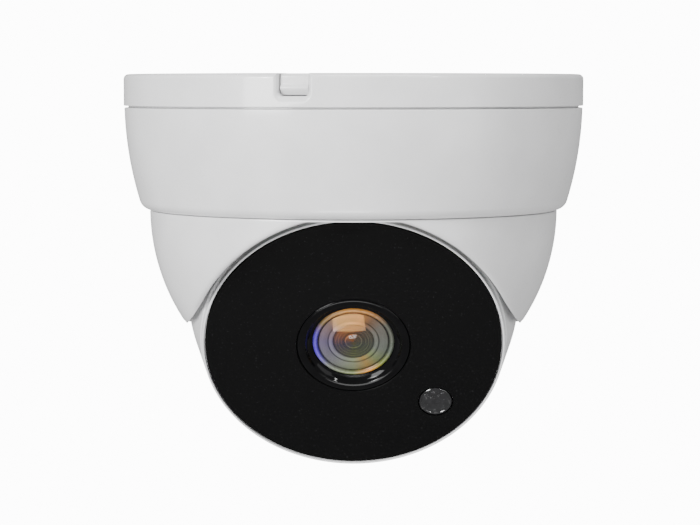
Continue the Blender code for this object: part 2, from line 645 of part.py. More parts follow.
def make_cable_gland(look, roll):
    flange = -(BALL_RADIUS - BALL_WALL - 1.0 * MM)
    end = -(BALL_RADIUS + GLAND_PROUD)
    profile = [(GLAND_BORE, flange + 1.5 * MM), (GLAND_RADIUS + 2 * MM, flange + 1.5 * MM)]
    profile += [(GLAND_RADIUS + 2 * MM, flange), (GLAND_RADIUS, flange), (GLAND_RADIUS, end)]
    profile += [(GLAND_BORE, end)]
    turned("cable_gland", profile, look, 24, roll)


def housing_angles():
    return [radians(90 + 120 * i) for i in range(3)]


def make_rear_housing(look, roll):
    face = PARTING - GAP / 2
    inner = BALL_RADIUS - BALL_WALL
    hole = GLAND_RADIUS + GAP
    profile = arc((0.0, 0.0), BALL_RADIUS, asin(face / BALL_RADIUS), -acos(hole / BALL_RADIUS), 8)
    profile += arc((0.0, 0.0), inner, -acos(hole / inner), asin(face / inner), 6)
    housing = turned("ball_rear_housing", profile, look, LARGE, roll)
    for index, angle in enumerate(housing_angles()):
        combine(housing, rear_boss(f"rear_boss_{index + 1}", on_circle(HOUSING_SCREW_CIRCLE, angle), roll),
                "UNION")
    for index, angle in enumerate(housing_angles()):
        spot = (*on_circle(HOUSING_SCREW_CIRCLE, angle), 0.0)
        low = -1.2 * BALL_RADIUS
        profile = [(0.0, low), (SCREW_HEAD + GAP, low), (SCREW_HEAD + GAP, HOUSING_SCREW_SEAT)]
        profile += [(SCREW_SHANK + GAP, HOUSING_SCREW_SEAT), (SCREW_SHANK + GAP, PARTING), (0.0, PARTING)]
        hole = turned(f"rear_hole_{index + 1}", profile, None, TINY, roll)
        combine(housing, place(hole, spot))


def rear_boss(name, spot, roll):
    """A round boss that ends in the middle of the ball's wall."""
    middle = BALL_RADIUS - BALL_WALL / 2
    ring = [on_circle(HOUSING_BOSS_RADIUS, 2 * pi * i / TINY) for i in range(TINY)]
    ring = [(spot[0] + x, spot[1] + y) for x, y in ring]
    front = [(x, y, HOUSING_BOSS_FRONT) for x, y in ring]
    back = [(x, y, -sqrt(middle**2 - x**2 - y**2)) for x, y in ring]
    return lofted(name, [front, back], None, roll)


def make_front_housing(look, roll):
    face = PARTING + GAP / 2
    spigot_end = PARTING - HOUSING_SPIGOT
    spigot = sqrt((BALL_RADIUS - BALL_WALL) ** 2 - spigot_end**2) - GAP
    spigot_bore = spigot - HOUSING_SPIGOT_WALL
    groove = (PARTING - 1.0 * MM, PARTING - 2.4 * MM)
    cone = ball_cone_start()
    gasket_edge = WINDOW_RADIUS - 1.1 * MM
    profile = arc((0.0, 0.0), BALL_RADIUS, asin(face / BALL_RADIUS), asin(cone / BALL_RADIUS), 3)
    profile += [(ball_outside(HOUSING_FRONT - 0.2 * MM), HOUSING_FRONT - 0.2 * MM)]
    profile += [(ball_outside(HOUSING_FRONT) - 0.2 * MM, HOUSING_FRONT), (gasket_edge, HOUSING_FRONT)]
    profile += [(gasket_edge, LAND_FRONT), (LAND_BORE, LAND_FRONT), (LAND_BORE, LAND_BACK)]
    profile += [(ball_outside(LAND_BACK) - BALL_WALL, LAND_BACK)]
    profile += [(ball_outside(s) - BALL_WALL, s) for s in (cone, 0.0)]
    profile += [(spigot_bore, face), (spigot_bore, spigot_end), (spigot, spigot_end)]
    profile += [(spigot, groove[1]), (spigot - 0.9 * MM, groove[1]), (spigot - 0.9 * MM, groove[0])]
    profile += [(spigot, groove[0]), (spigot, face)]
    housing = turned("ball_front_housing", profile, look, LARGE, roll)
    for index, angle in enumerate(housing_angles()):
        tongue = screw_tongue(f"front_tongue_{index + 1}", roll)
        combine(housing, place(tongue, rotation=(0.0, 0.0, angle)), "UNION")
    for index, angle in enumerate(housing_angles()):
        spot = (*on_circle(HOUSING_SCREW_CIRCLE, angle), 0.0)
        hole = cylinder(f"front_hole_{index + 1}", SCREW_SHANK + GAP, HOUSING_BOSS_FRONT - 1 * MM,
                        0.0, segments=TINY, parent=roll)
        combine(housing, place(hole, spot))
    for index, angle in enumerate(led_screw_angles()):
        spot = (*on_circle(led_screw_circle(), angle), 0.0)
        hole = cylinder(f"land_hole_{index + 1}", LAND_HOLE_RADIUS, LAND_BACK - 1 * MM,
                        LAND_BACK + 1.5 * MM, segments=8, parent=roll)
        combine(housing, place(hole, spot))
    middle = (groove[0] + groove[1]) / 2
    tube("housing_seal", spigot - 0.9 * MM + GAP, spigot + 0.1 * MM, middle - 0.4 * MM,
         middle + 0.4 * MM, bpy.data.materials["rubber"], MIDDLE, roll)


def screw_tongue(name, roll):
    """A tongue from the spigot inwards to a round end that takes a screw."""
    reach = sqrt((BALL_RADIUS - BALL_WALL) ** 2 - HOUSING_BOSS_FRONT**2) - 3 * GAP
    half = SCREW_SHANK + 1.4 * MM
    low = HOUSING_BOSS_FRONT + GAP
    end = arc((HOUSING_SCREW_CIRCLE, 0.0), half, 1.5 * pi, 0.5 * pi, 6)
    outline = [(reach, half), (reach, -half)] + end
    return extruded(name, [(x, y, low) for x, y in outline], (0, 0, PARTING - 0.5 * MM - low), None, roll)


def make_housing_screws(look, roll):
    for index, angle in enumerate(housing_angles()):
        length = HOUSING_BOSS_FRONT - HOUSING_SCREW_SEAT + 7.0 * MM
        made = screw(f"housing_screw_{index + 1}", look, HOUSING_SCREW_SEAT - GAP, length, roll, -1.0)
        place(made, (*on_circle(HOUSING_SCREW_CIRCLE, angle), 0.0))


def make_window(looks, roll):
    black, clear, rubber, trim = looks
    window = tube("front_window", HOOD_RADIUS + GAP, WINDOW_RADIUS, WINDOW_BACK, WINDOW_OFFSET,
                  black, LARGE, roll)
    hole = cylinder("sensor_hole_cutter", SENSOR_PLUG_RADIUS + GAP, WINDOW_BACK - 1 * MM,
                    WINDOW_OFFSET + 1 * MM, segments=24, parent=roll)
    combine(window, place(hole, (SENSOR_X, SENSOR_Y, 0.0)))
    plug = cylinder("light_sensor_window", SENSOR_PLUG_RADIUS, WINDOW_BACK, WINDOW_OFFSET,
                    clear, 24, roll)
    place(plug, (SENSOR_X, SENSOR_Y, 0.0))
    tube("window_gasket", LAND_BORE + GAP, WINDOW_RADIUS - 1.1 * MM - GAP, GASKET_BACK,
         GASKET_BACK + GASKET_THICKNESS, rubber, MIDDLE, roll)
    front = WINDOW_OFFSET + RIM_STEP
    inner = WINDOW_RADIUS + GAP
    outer = ball_outside(WINDOW_OFFSET)
    profile = [(inner, RIM_BACK), (outer, RIM_BACK), (outer, front - 0.25 * MM)]
    profile += [(outer - 0.25 * MM, front), (inner + 0.1 * MM, front), (inner, front - 0.1 * MM)]
    turned("trim_ring", profile, trim, LARGE, roll)


def make_lens(looks, roll):
    black, glass, dark_glass, steel = looks
    hood_front = WINDOW_OFFSET - 0.2 * MM
    bore = LENS_RADIUS + GAP
    profile = [(bore, ON_LED_BOARD), (HOOD_RADIUS, ON_LED_BOARD), (HOOD_RADIUS, hood_front)]
    profile += [(HOOD_RADIUS - 0.4 * MM, hood_front), (HOOD_THROAT, LENS_FRONT - 0.9 * MM)]
    profile += [(bore, LENS_FRONT - 1.1 * MM)]
    turned("lens_hood", profile, black, MIDDLE, roll)

    head_front = LENS_FRONT - HEAD_SET_BACK
    head_back = LED_BOARD_BACK - 2.0 * MM
    cone_back = LENS_FRONT - LENS_CONE_DEPTH
    seat = LENS_CLEAR_RADIUS - 0.6 * MM
    inner = INNER_LENS_RADIUS + GAP
    room_back = cone_back - INNER_LENS_ROOM
    profile = [(inner, room_back), (inner, cone_back), (seat, head_front - 0.6 * MM)]
    profile += [(seat, head_front), (LENS_RADIUS, head_front), (LENS_RADIUS, head_back)]
    profile += [(THREAD_RADIUS, head_back), (THREAD_RADIUS, BARREL_BACK), (BARREL_BORE, BARREL_BACK)]
    profile += [(BARREL_BORE, room_back)]
    turned("lens_barrel", profile, black, MIDDLE, roll)
    tube("lens_retaining_ring", LENS_CLEAR_RADIUS + GAP, LENS_RADIUS, head_front + GAP, LENS_FRONT,
         steel, MIDDLE, roll)
    turned("lens_front_element", meniscus(LENS_CLEAR_RADIUS, head_front + GAP, 0.9 * MM, 1.1 * MM, 0.7 * MM),
           glass, MIDDLE, roll)
    inner_back = cone_back - INNER_LENS_THICKNESS
    turned("lens_inner_element", meniscus(INNER_LENS_RADIUS, inner_back, 1.4 * MM, 1.3 * MM, 0.0),
           dark_glass, 24, roll)
    tube("lens_holder", THREAD_RADIUS + GAP, HOLDER_RADIUS, SENSOR_BOARD_S + BOARD_THICKNESS + GAP,
         HOLDER_FRONT, black, 24, roll)
    cylinder("ir_cut_filter", FILTER_RADIUS, FILTER_BACK, FILTER_BACK + FILTER_THICKNESS, glass, SMALL, roll)


def meniscus(radius, back, edge, bulge, hollow):
    """A lens outline: flat edge, a front that bulges forwards and a back that may be hollow."""
    def cap(height, base, sign):
        ball = (radius**2 + height**2) / (2 * height)
        turn = asin(radius / ball)
        return [(ball * sin(turn * i / 3), base + sign * (ball * cos(turn * i / 3) - ball + height))
                for i in range(4)]
    front = cap(bulge, back + edge, 1.0)
    rear = cap(hollow, back, 1.0) if hollow else [(0.0, back), (radius, back)]
    return rear + front[::-1]


def make_boards(looks, roll):
    green, white, dark, steel, led, rubber = looks
    half = SQUARE_BOARD / 2
    for name, low in (("sensor_board", SENSOR_BOARD_S), ("main_board", MAIN_BOARD_S)):
        box(name, (-half, -half, low), (half, half, low + BOARD_THICKNESS), green, roll)
    on_board = SENSOR_BOARD_S + BOARD_THICKNESS + GAP
    wide, high, thick = IMAGE_SENSOR
    box("image_sensor", (-wide / 2, -high / 2, on_board), (wide / 2, high / 2, on_board + thick), dark, roll)
    corner = half - POST_INSET
    spots = [(corner, corner), (-corner, corner), (-corner, -corner), (corner, -corner)]
    for index, spot in enumerate(spots):
        low = MAIN_BOARD_S + BOARD_THICKNESS + GAP
        made = cylinder(f"board_post_{index + 1}", POST_RADIUS, low, SENSOR_BOARD_S - GAP, steel, 6, roll)
        place(made, (*spot, 0.0))
    for index, spot in enumerate(spots[:2]):
        made = cylinder(f"led_board_post_{index + 1}", POST_RADIUS, on_board, LED_BOARD_BACK - GAP,
                        steel, 6, roll)
        place(made, (*spot, 0.0))
    board_radius = ball_outside(LED_BOARD_BACK) - BALL_WALL - 1.0 * MM
    board = tube("ir_board", LENS_RADIUS + 0.5 * MM, board_radius, LED_BOARD_BACK, LED_BOARD_FRONT,
                 white, MIDDLE, roll)
    for index, angle in enumerate(led_screw_angles()):
        spot = (*on_circle(led_screw_circle(), angle), 0.0)
        hole = cylinder(f"led_board_hole_{index + 1}", LED_SCREW_SHANK + GAP, LED_BOARD_BACK - 1 * MM,
                        LED_BOARD_FRONT + 1 * MM, segments=8, parent=roll)
        combine(board, place(hole, spot))
        back = LED_BOARD_BACK - GAP
        tip = LAND_BACK + 1.1 * MM
        profile = [(0.0, back - 1.2 * MM), (LED_SCREW_HEAD, back - 1.2 * MM), (LED_SCREW_HEAD, back)]
        profile += [(LED_SCREW_SHANK, back), (LED_SCREW_SHANK, tip), (0.0, tip)]
        place(turned(f"led_board_screw_{index + 1}", profile, steel, 8, roll), spot)
    for index in range(6):
        spot = (*on_circle(LED_CIRCLE, LED_FIRST + radians(60 * index)), 0.0)
        top = ON_LED_BOARD + LED_HEIGHT
        profile = [(0.0, ON_LED_BOARD), (LED_RADIUS, ON_LED_BOARD), (LED_RADIUS, ON_LED_BOARD + 0.8 * MM)]
        profile += [(0.8 * LED_RADIUS, ON_LED_BOARD + 1.6 * MM), (0.45 * LED_RADIUS, top - 0.2 * MM)]
        profile += [(0.0, top)]
        place(turned(f"ir_led_{index + 1}", profile, led, TINY, roll), spot)
    spot = (SENSOR_X, SENSOR_Y, 0.0)
    eye = cylinder("light_sensor", LIGHT_SENSOR_RADIUS, ON_LED_BOARD, ON_LED_BOARD + LIGHT_SENSOR_HEIGHT,
                   dark, TINY, roll)
    place(eye, spot)
    bore = LIGHT_SENSOR_RADIUS + 0.4 * MM
    sleeve = tube("light_sensor_sleeve", bore, bore + SLEEVE_WALL, ON_LED_BOARD, WINDOW_BACK - GAP, rubber,
                  SMALL, roll)
    place(sleeve, spot)


def led_screw_circle():
    return LAND_BORE + LAND_HOLE_RADIUS + 0.6 * MM


def led_screw_angles():
    return [LED_SCREW_FIRST + radians(120 * i) for i in range(3)]


def main():
    clear_scene()
    white = material("white_paint", (0.80, 0.80, 0.80), 0.35)
    steel = material("zinc_steel", (0.62, 0.62, 0.60), 0.35, 1.0)
    nylon = material("nylon", (0.85, 0.84, 0.80), 0.5)
    rubber = material("rubber", (0.03, 0.03, 0.03), 0.8)
    foam = material("foam", (0.05, 0.05, 0.05), 0.95)
    black = material("black_plastic", (0.015, 0.015, 0.015), 0.45)
    window_black = material("black_window", (0.008, 0.008, 0.008), 0.25)
    clear = material("clear_plastic", (0.25, 0.25, 0.25), 0.1, alpha=0.5)
    glass = material("lens_glass", (0.7, 0.6, 0.5), 0.02, alpha=0.35)
    dark_glass = material("inner_lens_glass", (0.05, 0.04, 0.02), 0.05)
    green = material("board_green", (0.02, 0.16, 0.07), 0.5)
    white_board = material("board_white", (0.75, 0.75, 0.72), 0.5)
    chip = material("chip_black", (0.03, 0.03, 0.04), 0.3)
    led = material("led_lens", (0.65, 0.62, 0.55), 0.15)

    make_base_plate(white)
    make_cable_slot_cover(white)
    make_base_seals(foam, rubber)
    make_cover_ring(white)
    make_cover_lock_screw(steel)
    make_glide_ring(nylon)

    pan = empty("pan_axis", (0.0, 0.0, 0.0))
    make_swivel_shell(white, pan)
    make_clamp_bracket(steel, pan)
    make_bracket_screws(steel, pan)
    make_friction_pads(rubber, pan)

    tilt = empty("tilt_axis", (0.0, 0.0, BALL_Z), (pi / 2 + LOOK_DOWN, 0.0, 0.0), pan)
    make_guide_collar(nylon, tilt)
    roll = empty("roll_axis", (0.0, 0.0, 0.0), parent=tilt)
    make_rear_housing(white, roll)
    make_front_housing(white, roll)
    make_housing_screws(steel, roll)
    make_cable_gland(black, roll)
    make_window((window_black, clear, rubber, white), roll)
    make_lens((black, glass, dark_glass, steel), roll)
    make_boards((green, white_board, chip, steel, led, rubber), roll)


main()
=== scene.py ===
import json
import math

import bpy
from mathutils import Euler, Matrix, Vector


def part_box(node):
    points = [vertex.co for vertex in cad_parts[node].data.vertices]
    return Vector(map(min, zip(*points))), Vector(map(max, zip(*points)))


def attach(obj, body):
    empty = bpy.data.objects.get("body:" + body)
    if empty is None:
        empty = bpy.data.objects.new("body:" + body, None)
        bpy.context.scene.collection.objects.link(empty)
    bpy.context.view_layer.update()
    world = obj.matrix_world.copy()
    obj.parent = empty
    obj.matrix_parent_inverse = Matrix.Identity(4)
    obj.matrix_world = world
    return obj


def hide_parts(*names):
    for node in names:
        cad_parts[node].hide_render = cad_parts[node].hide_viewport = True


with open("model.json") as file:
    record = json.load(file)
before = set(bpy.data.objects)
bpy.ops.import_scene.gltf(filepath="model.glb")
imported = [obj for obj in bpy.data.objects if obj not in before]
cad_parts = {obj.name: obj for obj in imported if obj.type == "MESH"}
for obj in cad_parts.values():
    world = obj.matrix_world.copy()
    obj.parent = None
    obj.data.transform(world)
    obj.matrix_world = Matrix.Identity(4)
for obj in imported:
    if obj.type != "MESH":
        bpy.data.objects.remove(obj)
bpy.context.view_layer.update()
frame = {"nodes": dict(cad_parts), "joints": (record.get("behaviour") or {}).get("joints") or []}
bpy.ops.object.select_all(action="DESELECT")

# Lengths below are millimetres; mm turns them into Blender's metres
mm = 0.001
joints = {joint["name"]: joint for joint in frame["joints"]}
ballCentre = Vector(joints["tilt"]["pos_m"])
lookDown = math.asin(-joints["roll"]["axis"][2])
ballTurn = Euler((math.pi / 2 + lookDown, 0, 0))


def sizeOf(node):
    # lowest and highest corner of a node in millimetres
    low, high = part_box(node)
    return Vector(low) / mm, Vector(high) / mm


def sizeInBall(node):
    # the same measured along the ball's own axes: x across, y up the window, z out of the lens
    back = ballTurn.to_matrix().inverted()
    spots = [back @ (vertex.co - ballCentre) / mm for vertex in frame["nodes"][node].data.vertices]
    low = Vector([min(spot[i] for spot in spots) for i in range(3)])
    high = Vector([max(spot[i] for spot in spots) for i in range(3)])
    return low, high


# Modelling helpers

def startEditing(name):
    piece = bpy.context.object
    piece.name = piece.data.name = name
    bpy.ops.object.transform_apply(location=True, rotation=True, scale=True)
    bpy.ops.object.mode_set(mode="EDIT")
    bpy.ops.mesh.select_mode(type="VERT")
    bpy.ops.mesh.select_all(action="SELECT")
    return piece


def stopEditing(piece, sharp=30):
    bpy.ops.mesh.select_all(action="SELECT")
    bpy.ops.mesh.remove_doubles(threshold=0.004 * mm)
    bpy.ops.mesh.normals_make_consistent(inside=False)
    bpy.ops.object.mode_set(mode="OBJECT")
    bpy.ops.object.shade_smooth_by_angle(angle=math.radians(sharp))
    return piece


def curve(centre, radius, start, end, steps):
    # points of an arc, angles in degrees from straight outwards
    angles = [math.radians(start + (end - start) * i / steps) for i in range(steps + 1)]
    return [(centre[0] + radius * math.cos(a), centre[1] + radius * math.sin(a)) for a in angles]


def onCircle(radius, angle):
    return radius * Vector((math.cos(math.radians(angle)), math.sin(math.radians(angle)), 0))


def turnPiece(name, outline, sides=128, ring=True, sharp=30):
    # a circle pulled from point to point of the outline; a ring closes on itself, a solid is capped
    bpy.ops.object.select_all(action="DESELECT")
    bpy.ops.mesh.primitive_circle_add(vertices=sides, radius=outline[0][0] * mm,
                                      location=(0, 0, outline[0][1] * mm))
    piece = startEditing(name)
    for (radius, height), (nextRadius, nextHeight) in zip(outline, outline[1:]):
        bpy.ops.mesh.extrude_region_move(
            TRANSFORM_OT_translate={"value": (0, 0, (nextHeight - height) * mm)})
        grow = nextRadius / radius
        bpy.ops.transform.resize(value=(grow, grow, 1), center_override=(0, 0, 0))
    bpy.ops.mesh.select_all(action="DESELECT")
    bpy.ops.mesh.select_non_manifold()
    if ring:
        bpy.ops.mesh.bridge_edge_loops()
    else:
        bpy.ops.mesh.fill_holes(sides=0)
    return stopEditing(piece, sharp)


def putPiece(piece, place=(0, 0, 0), turn=(0, 0, 0)):
    # moves a piece and leaves its object at the origin
    bpy.ops.object.select_all(action="DESELECT")
    piece.select_set(True)
    bpy.context.view_layer.objects.active = piece
    piece.location = Vector(place) * mm
    piece.rotation_euler = turn
    bpy.ops.object.transform_apply(location=True, rotation=True, scale=True)
    return piece


def putInBall(piece):
    return putPiece(piece, ballCentre / mm, ballTurn)


def applyModifier(piece, kind, **settings):
    bpy.ops.object.select_all(action="DESELECT")
    piece.select_set(True)
    bpy.context.view_layer.objects.active = piece
    modifier = piece.modifiers.new(kind.title(), kind)
    for setting, value in settings.items():
        setattr(modifier, setting, value)
    bpy.ops.object.modifier_apply(modifier=modifier.name)
    return piece


def cutPiece(piece, cutter, operation="DIFFERENCE", sharp=30):
    applyModifier(piece, "BOOLEAN", object=cutter, operation=operation, solver="EXACT")
    bpy.data.objects.remove(cutter)
    bpy.ops.object.shade_smooth_by_angle(angle=math.radians(sharp))
    return piece


def peg(name, radius, low, high, sides=48):
    return turnPiece(name, [(radius, low), (radius, high)], sides, ring=False)


def dressPiece(piece, finish, body, node):
    piece.data.materials.clear()
    piece.data.materials.append(finish)
    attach(piece, body)
    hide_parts(node)


# Finishes

def newFinish(name, colour, roughness, metallic=0.0):
    finish = bpy.data.materials.new(name)
    finish.use_nodes = True
    tree = finish.node_tree
    shader = tree.nodes["Principled BSDF"]
    shader.inputs["Base Color"].default_value = (*colour, 1)
    shader.inputs["Roughness"].default_value = roughness
    shader.inputs["Metallic"].default_value = metallic
    return finish, tree, shader


def noiseNode(tree, scale, detail=3.0, stretch=(1, 1, 1)):
    place = tree.nodes.new("ShaderNodeTexCoord")
    mapping = tree.nodes.new("ShaderNodeMapping")
    mapping.inputs["Scale"].default_value = stretch
    noise = tree.nodes.new("ShaderNodeTexNoise")
    noise.inputs["Scale"].default_value = scale
    noise.inputs["Detail"].default_value = detail
    tree.links.new(place.outputs["Object"], mapping.inputs["Vector"])
    tree.links.new(mapping.outputs["Vector"], noise.inputs["Vector"])
    return noise.outputs["Fac"]


def rampNode(tree, source, stops):
    ramp = tree.nodes.new("ShaderNodeValToRGB")
    elements = ramp.color_ramp.elements
    while len(elements) < len(stops):
        elements.new(0.5)
    for element, (position, colour) in zip(elements, stops):
        element.position = position
        element.color = (*colour, 1) if len(colour) == 3 else colour
    tree.links.new(source, ramp.inputs["Fac"])
    return ramp.outputs["Color"]


def rangeNode(tree, source, low, high, fromLow=0.3, fromHigh=0.7):
    change = tree.nodes.new("ShaderNodeMapRange")
    for socket, value in (("From Min", fromLow), ("From Max", fromHigh), ("To Min", low), ("To Max", high)):
        change.inputs[socket].default_value = value
    tree.links.new(source, change.inputs["Value"])
    return change.outputs["Result"]


def bumpNode(tree, shader, source, depth, strength=1.0):
    bump = tree.nodes.new("ShaderNodeBump")
    bump.inputs["Distance"].default_value = depth * mm
    bump.inputs["Strength"].default_value = strength
    tree.links.new(source, bump.inputs["Height"])
    tree.links.new(bump.outputs["Normal"], shader.inputs["Normal"])


def grainFinish(name, grain):
    # a colour that drifts between two tones, a roughness that drifts too, and a fine raised grain
    finish, tree, shader = newFinish(name, grain["dark"], grain["roughness"][0], grain.get("metallic", 0.0))
    stretch = grain.get("stretch", (1, 1, 1))
    drift = noiseNode(tree, grain["driftScale"], 4.0, stretch)
    fine = noiseNode(tree, grain["fineScale"], 2.0, stretch)
    tree.links.new(rampNode(tree, drift, [(0.3, grain["dark"]), (0.7, grain["light"])]),
                   shader.inputs["Base Color"])
    tree.links.new(rangeNode(tree, fine, *grain["roughness"]), shader.inputs["Roughness"])
    bumpNode(tree, shader, fine, grain["depth"])
    for socket, value in grain.get("extra", {}).items():
        shader.inputs[socket].default_value = value
    return finish


housingPaint = grainFinish("housingPaint", {
    "dark": (0.70, 0.70, 0.705), "light": (0.76, 0.76, 0.765), "roughness": (0.27, 0.36),
    "driftScale": 90, "fineScale": 2300, "depth": 0.03,
    "extra": {"Coat Weight": 0.5, "Coat Roughness": 0.08}})
gasketFoam = grainFinish("gasketFoam", {
    "dark": (0.012, 0.012, 0.013), "light": (0.035, 0.035, 0.036), "roughness": (0.85, 1.0),
    "driftScale": 1500, "fineScale": 2600, "depth": 0.12})
sealRubber = grainFinish("sealRubber", {
    "dark": (0.014, 0.014, 0.015), "light": (0.024, 0.024, 0.025), "roughness": (0.55, 0.75),
    "driftScale": 250, "fineScale": 3000, "depth": 0.02})
zincSteel = grainFinish("zincSteel", {
    "dark": (0.46, 0.46, 0.45), "light": (0.66, 0.66, 0.64), "roughness": (0.28, 0.5), "metallic": 1.0,
    "driftScale": 320, "fineScale": 1200, "depth": 0.01})
milkNylon = grainFinish("milkNylon", {
    "dark": (0.72, 0.71, 0.66), "light": (0.80, 0.79, 0.75), "roughness": (0.4, 0.55),
    "driftScale": 200, "fineScale": 1800, "depth": 0.012})
blackPlastic = grainFinish("blackPlastic", {
    "dark": (0.007, 0.007, 0.008), "light": (0.014, 0.014, 0.015), "roughness": (0.34, 0.5),
    "driftScale": 300, "fineScale": 3200, "depth": 0.012})
hoodBlack = grainFinish("hoodBlack", {
    "dark": (0.0016, 0.0016, 0.0018), "light": (0.003, 0.003, 0.0033), "roughness": (0.05, 0.08),
    "driftScale": 300, "fineScale": 2600, "depth": 0.002, "extra": {"Specular IOR Level": 0.14}})
boardGreen = grainFinish("boardGreen", {
    "dark": (0.008, 0.09, 0.035), "light": (0.02, 0.17, 0.07), "roughness": (0.3, 0.5),
    "driftScale": 700, "fineScale": 2500, "depth": 0.02})
boardWhite = grainFinish("boardWhite", {
    "dark": (0.62, 0.62, 0.58), "light": (0.78, 0.78, 0.74), "roughness": (0.35, 0.5),
    "driftScale": 600, "fineScale": 2400, "depth": 0.01})
chipBlack = grainFinish("chipBlack", {
    "dark": (0.01, 0.012, 0.02), "light": (0.03, 0.03, 0.045), "roughness": (0.12, 0.3),
    "driftScale": 900, "fineScale": 3000, "depth": 0.006})
ledLens = grainFinish("ledLens", {
    "dark": (0.5, 0.46, 0.36), "light": (0.74, 0.72, 0.62), "roughness": (0.08, 0.16),
    "driftScale": 500, "fineScale": 2000, "depth": 0.006, "extra": {"Coat Weight": 0.6}})


def windowFinish():
    # matt black sheet with a faint sparkle of light specks
    finish, tree, shader = newFinish("windowBlack", (0.006, 0.006, 0.006), 0.42)
    speck = rangeNode(tree, noiseNode(tree, 2300, 1.0), 0.0, 1.0, 0.66, 0.80)
    cloud = noiseNode(tree, 120, 3.0)
    tree.links.new(rampNode(tree, speck, [(0.0, (0.0018, 0.0018, 0.0019)), (1.0, (0.014, 0.014, 0.015))]),
                   shader.inputs["Base Color"])
    tree.links.new(rangeNode(tree, cloud, 0.38, 0.5), shader.inputs["Roughness"])
    bumpNode(tree, shader, noiseNode(tree, 1700, 2.0), 0.006)
    shader.inputs["Specular IOR Level"].default_value = 0.06
    return finish


windowBlack = windowFinish()
print("finishes mixed")


# Base plate: a shallow dish with a spigot below, a notch for a surface cable, and holes

baseLow, baseHigh = sizeOf("base_plate")
coverLow, coverHigh = sizeOf("cover_ring")
foamHigh = sizeOf("ceiling_gasket")[1]
base = {
    "radius": baseHigh.x, "height": 7.5, "topRound": 1.2, "lowRound": 0.18, "plate": 2.5,
    "spigotWall": 2.2, "spigotRadius": sizeOf("cover_seal")[1].x, "spigotEnd": baseLow.z,
    "foamOuter": foamHigh.x + 0.3, "foamInner": foamHigh.x - 3.9, "foamDepth": 1.3,
    "cableHole": 8.0, "cableBack": 21.0, "fixingHole": 2.2, "fixingCircle": 38.0,
    "seamDepth": 1.1, "notchTurn": 14.0, "notchWidth": 6.9, "notchHeight": 5.0, "notchCorner": 1.0,
    "flare": ((0, 1.7), (0.06, 1.1), (0.18, 0.72), (0.38, 0.46), (0.66, 0.28), (1.0, 0.13),
              (1.3, 0.05), (1.6, 0)),
    "flareDrop": 1.3, "notchReach": 12, "fixingTurns": (30, 150, 270), "seamGap": 0.08,
    "sides": 192,
}


def makeBase():
    radius, height = base["radius"], base["height"]
    spigot, wall = base["spigotRadius"], base["spigotWall"]
    top, low = base["topRound"], base["lowRound"]
    outline = [(0.4, 0), (base["foamInner"], 0), (base["foamInner"], -base["foamDepth"]),
               (base["foamOuter"], -base["foamDepth"]), (base["foamOuter"], 0), (radius - top - 2, 0)]
    outline += curve((radius - top, -top), top, 90, 0, 8)
    outline += curve((radius - low, -height + low), low, 0, -90, 6)
    lip = radius - base["seamDepth"]
    outline += [(lip, -height), (lip, coverHigh.z + base["seamGap"]), (spigot, coverHigh.z + base["seamGap"])]
    outline += [(spigot, base["spigotEnd"] + 0.4), (spigot - 0.4, base["spigotEnd"]),
                (spigot - wall, base["spigotEnd"]), (spigot - wall, -base["plate"]), (0.4, -base["plate"])]
    plate = turnPiece("paintedBase", outline, base["sides"])
    hole = peg("cableHole", base["cableHole"], -9, 3, 64)
    cutPiece(plate, putPiece(hole, (0, base["cableBack"], 0)))
    for angle in base["fixingTurns"]:
        spot = onCircle(base["fixingCircle"], angle)
        cutPiece(plate, putPiece(peg("fixingHole", base["fixingHole"], -9, 3, 32), spot))
    cutPiece(plate, notchTool())
    applyModifier(plate, "WEIGHTED_NORMAL", keep_sharp=True, weight=80)
    dressPiece(plate, housingPaint, "base", "base_plate")


def notchTool():
    # a bar with rounded lower corners whose outer end flares like a shallow dish
    half = base["notchWidth"] / 2
    bottom, corner = -base["notchHeight"], base["notchCorner"]
    reach = base["radius"]
    sections = [(-reach + base["notchReach"], 0)]
    sections += [(-reach + depth, grown) for grown, depth in base["flare"]]
    sections += [(-reach - 2, base["flare"][-1][0])]
    bpy.ops.object.select_all(action="DESELECT")
    bpy.ops.mesh.primitive_circle_add(vertices=4, radius=1, location=(0, 0, 0))
    tool = startEditing("notchTool")
    bpy.ops.object.mode_set(mode="OBJECT")
    spots, faces, count = [], [], 18
    for along, grown in sections:
        lower = bottom - base["flareDrop"] * grown
        bend = lower + corner + grown
        ring = [(-half - grown, 4)] + curve((-half + corner, bend), corner + grown, 180, 270, 7)
        ring += curve((half - corner, bend), corner + grown, 270, 360, 7) + [(half + grown, 4)]
        spots += [(x * mm, along * mm, z * mm) for x, z in ring]
    for row in range(len(sections) - 1):
        for i in range(count):
            k = (i + 1) % count
            faces.append((row * count + i, row * count + k, (row + 1) * count + k, (row + 1) * count + i))
    faces += [tuple(range(count)), tuple(range((len(sections) - 1) * count, len(sections) * count))]
    tool.data.clear_geometry()
    tool.data.from_pydata(spots, [], faces)
    bpy.ops.object.mode_set(mode="EDIT")
    stopEditing(tool)
    return putPiece(tool, turn=(0, 0, -math.radians(base["notchTurn"])))


# Break-out cover in the notch: a bevelled tab with a ledge that stands out near its lower edge

slotCover = {
    "set": 2.0, "thickness": 2.2, "gap": 0.2, "panelEnd": -2.5, "ledge": 0.5, "ledgeEnd": -3.15,
    "chamferDepth": 0.55, "chamferHeight": 0.6, "edge": 0.22,
}


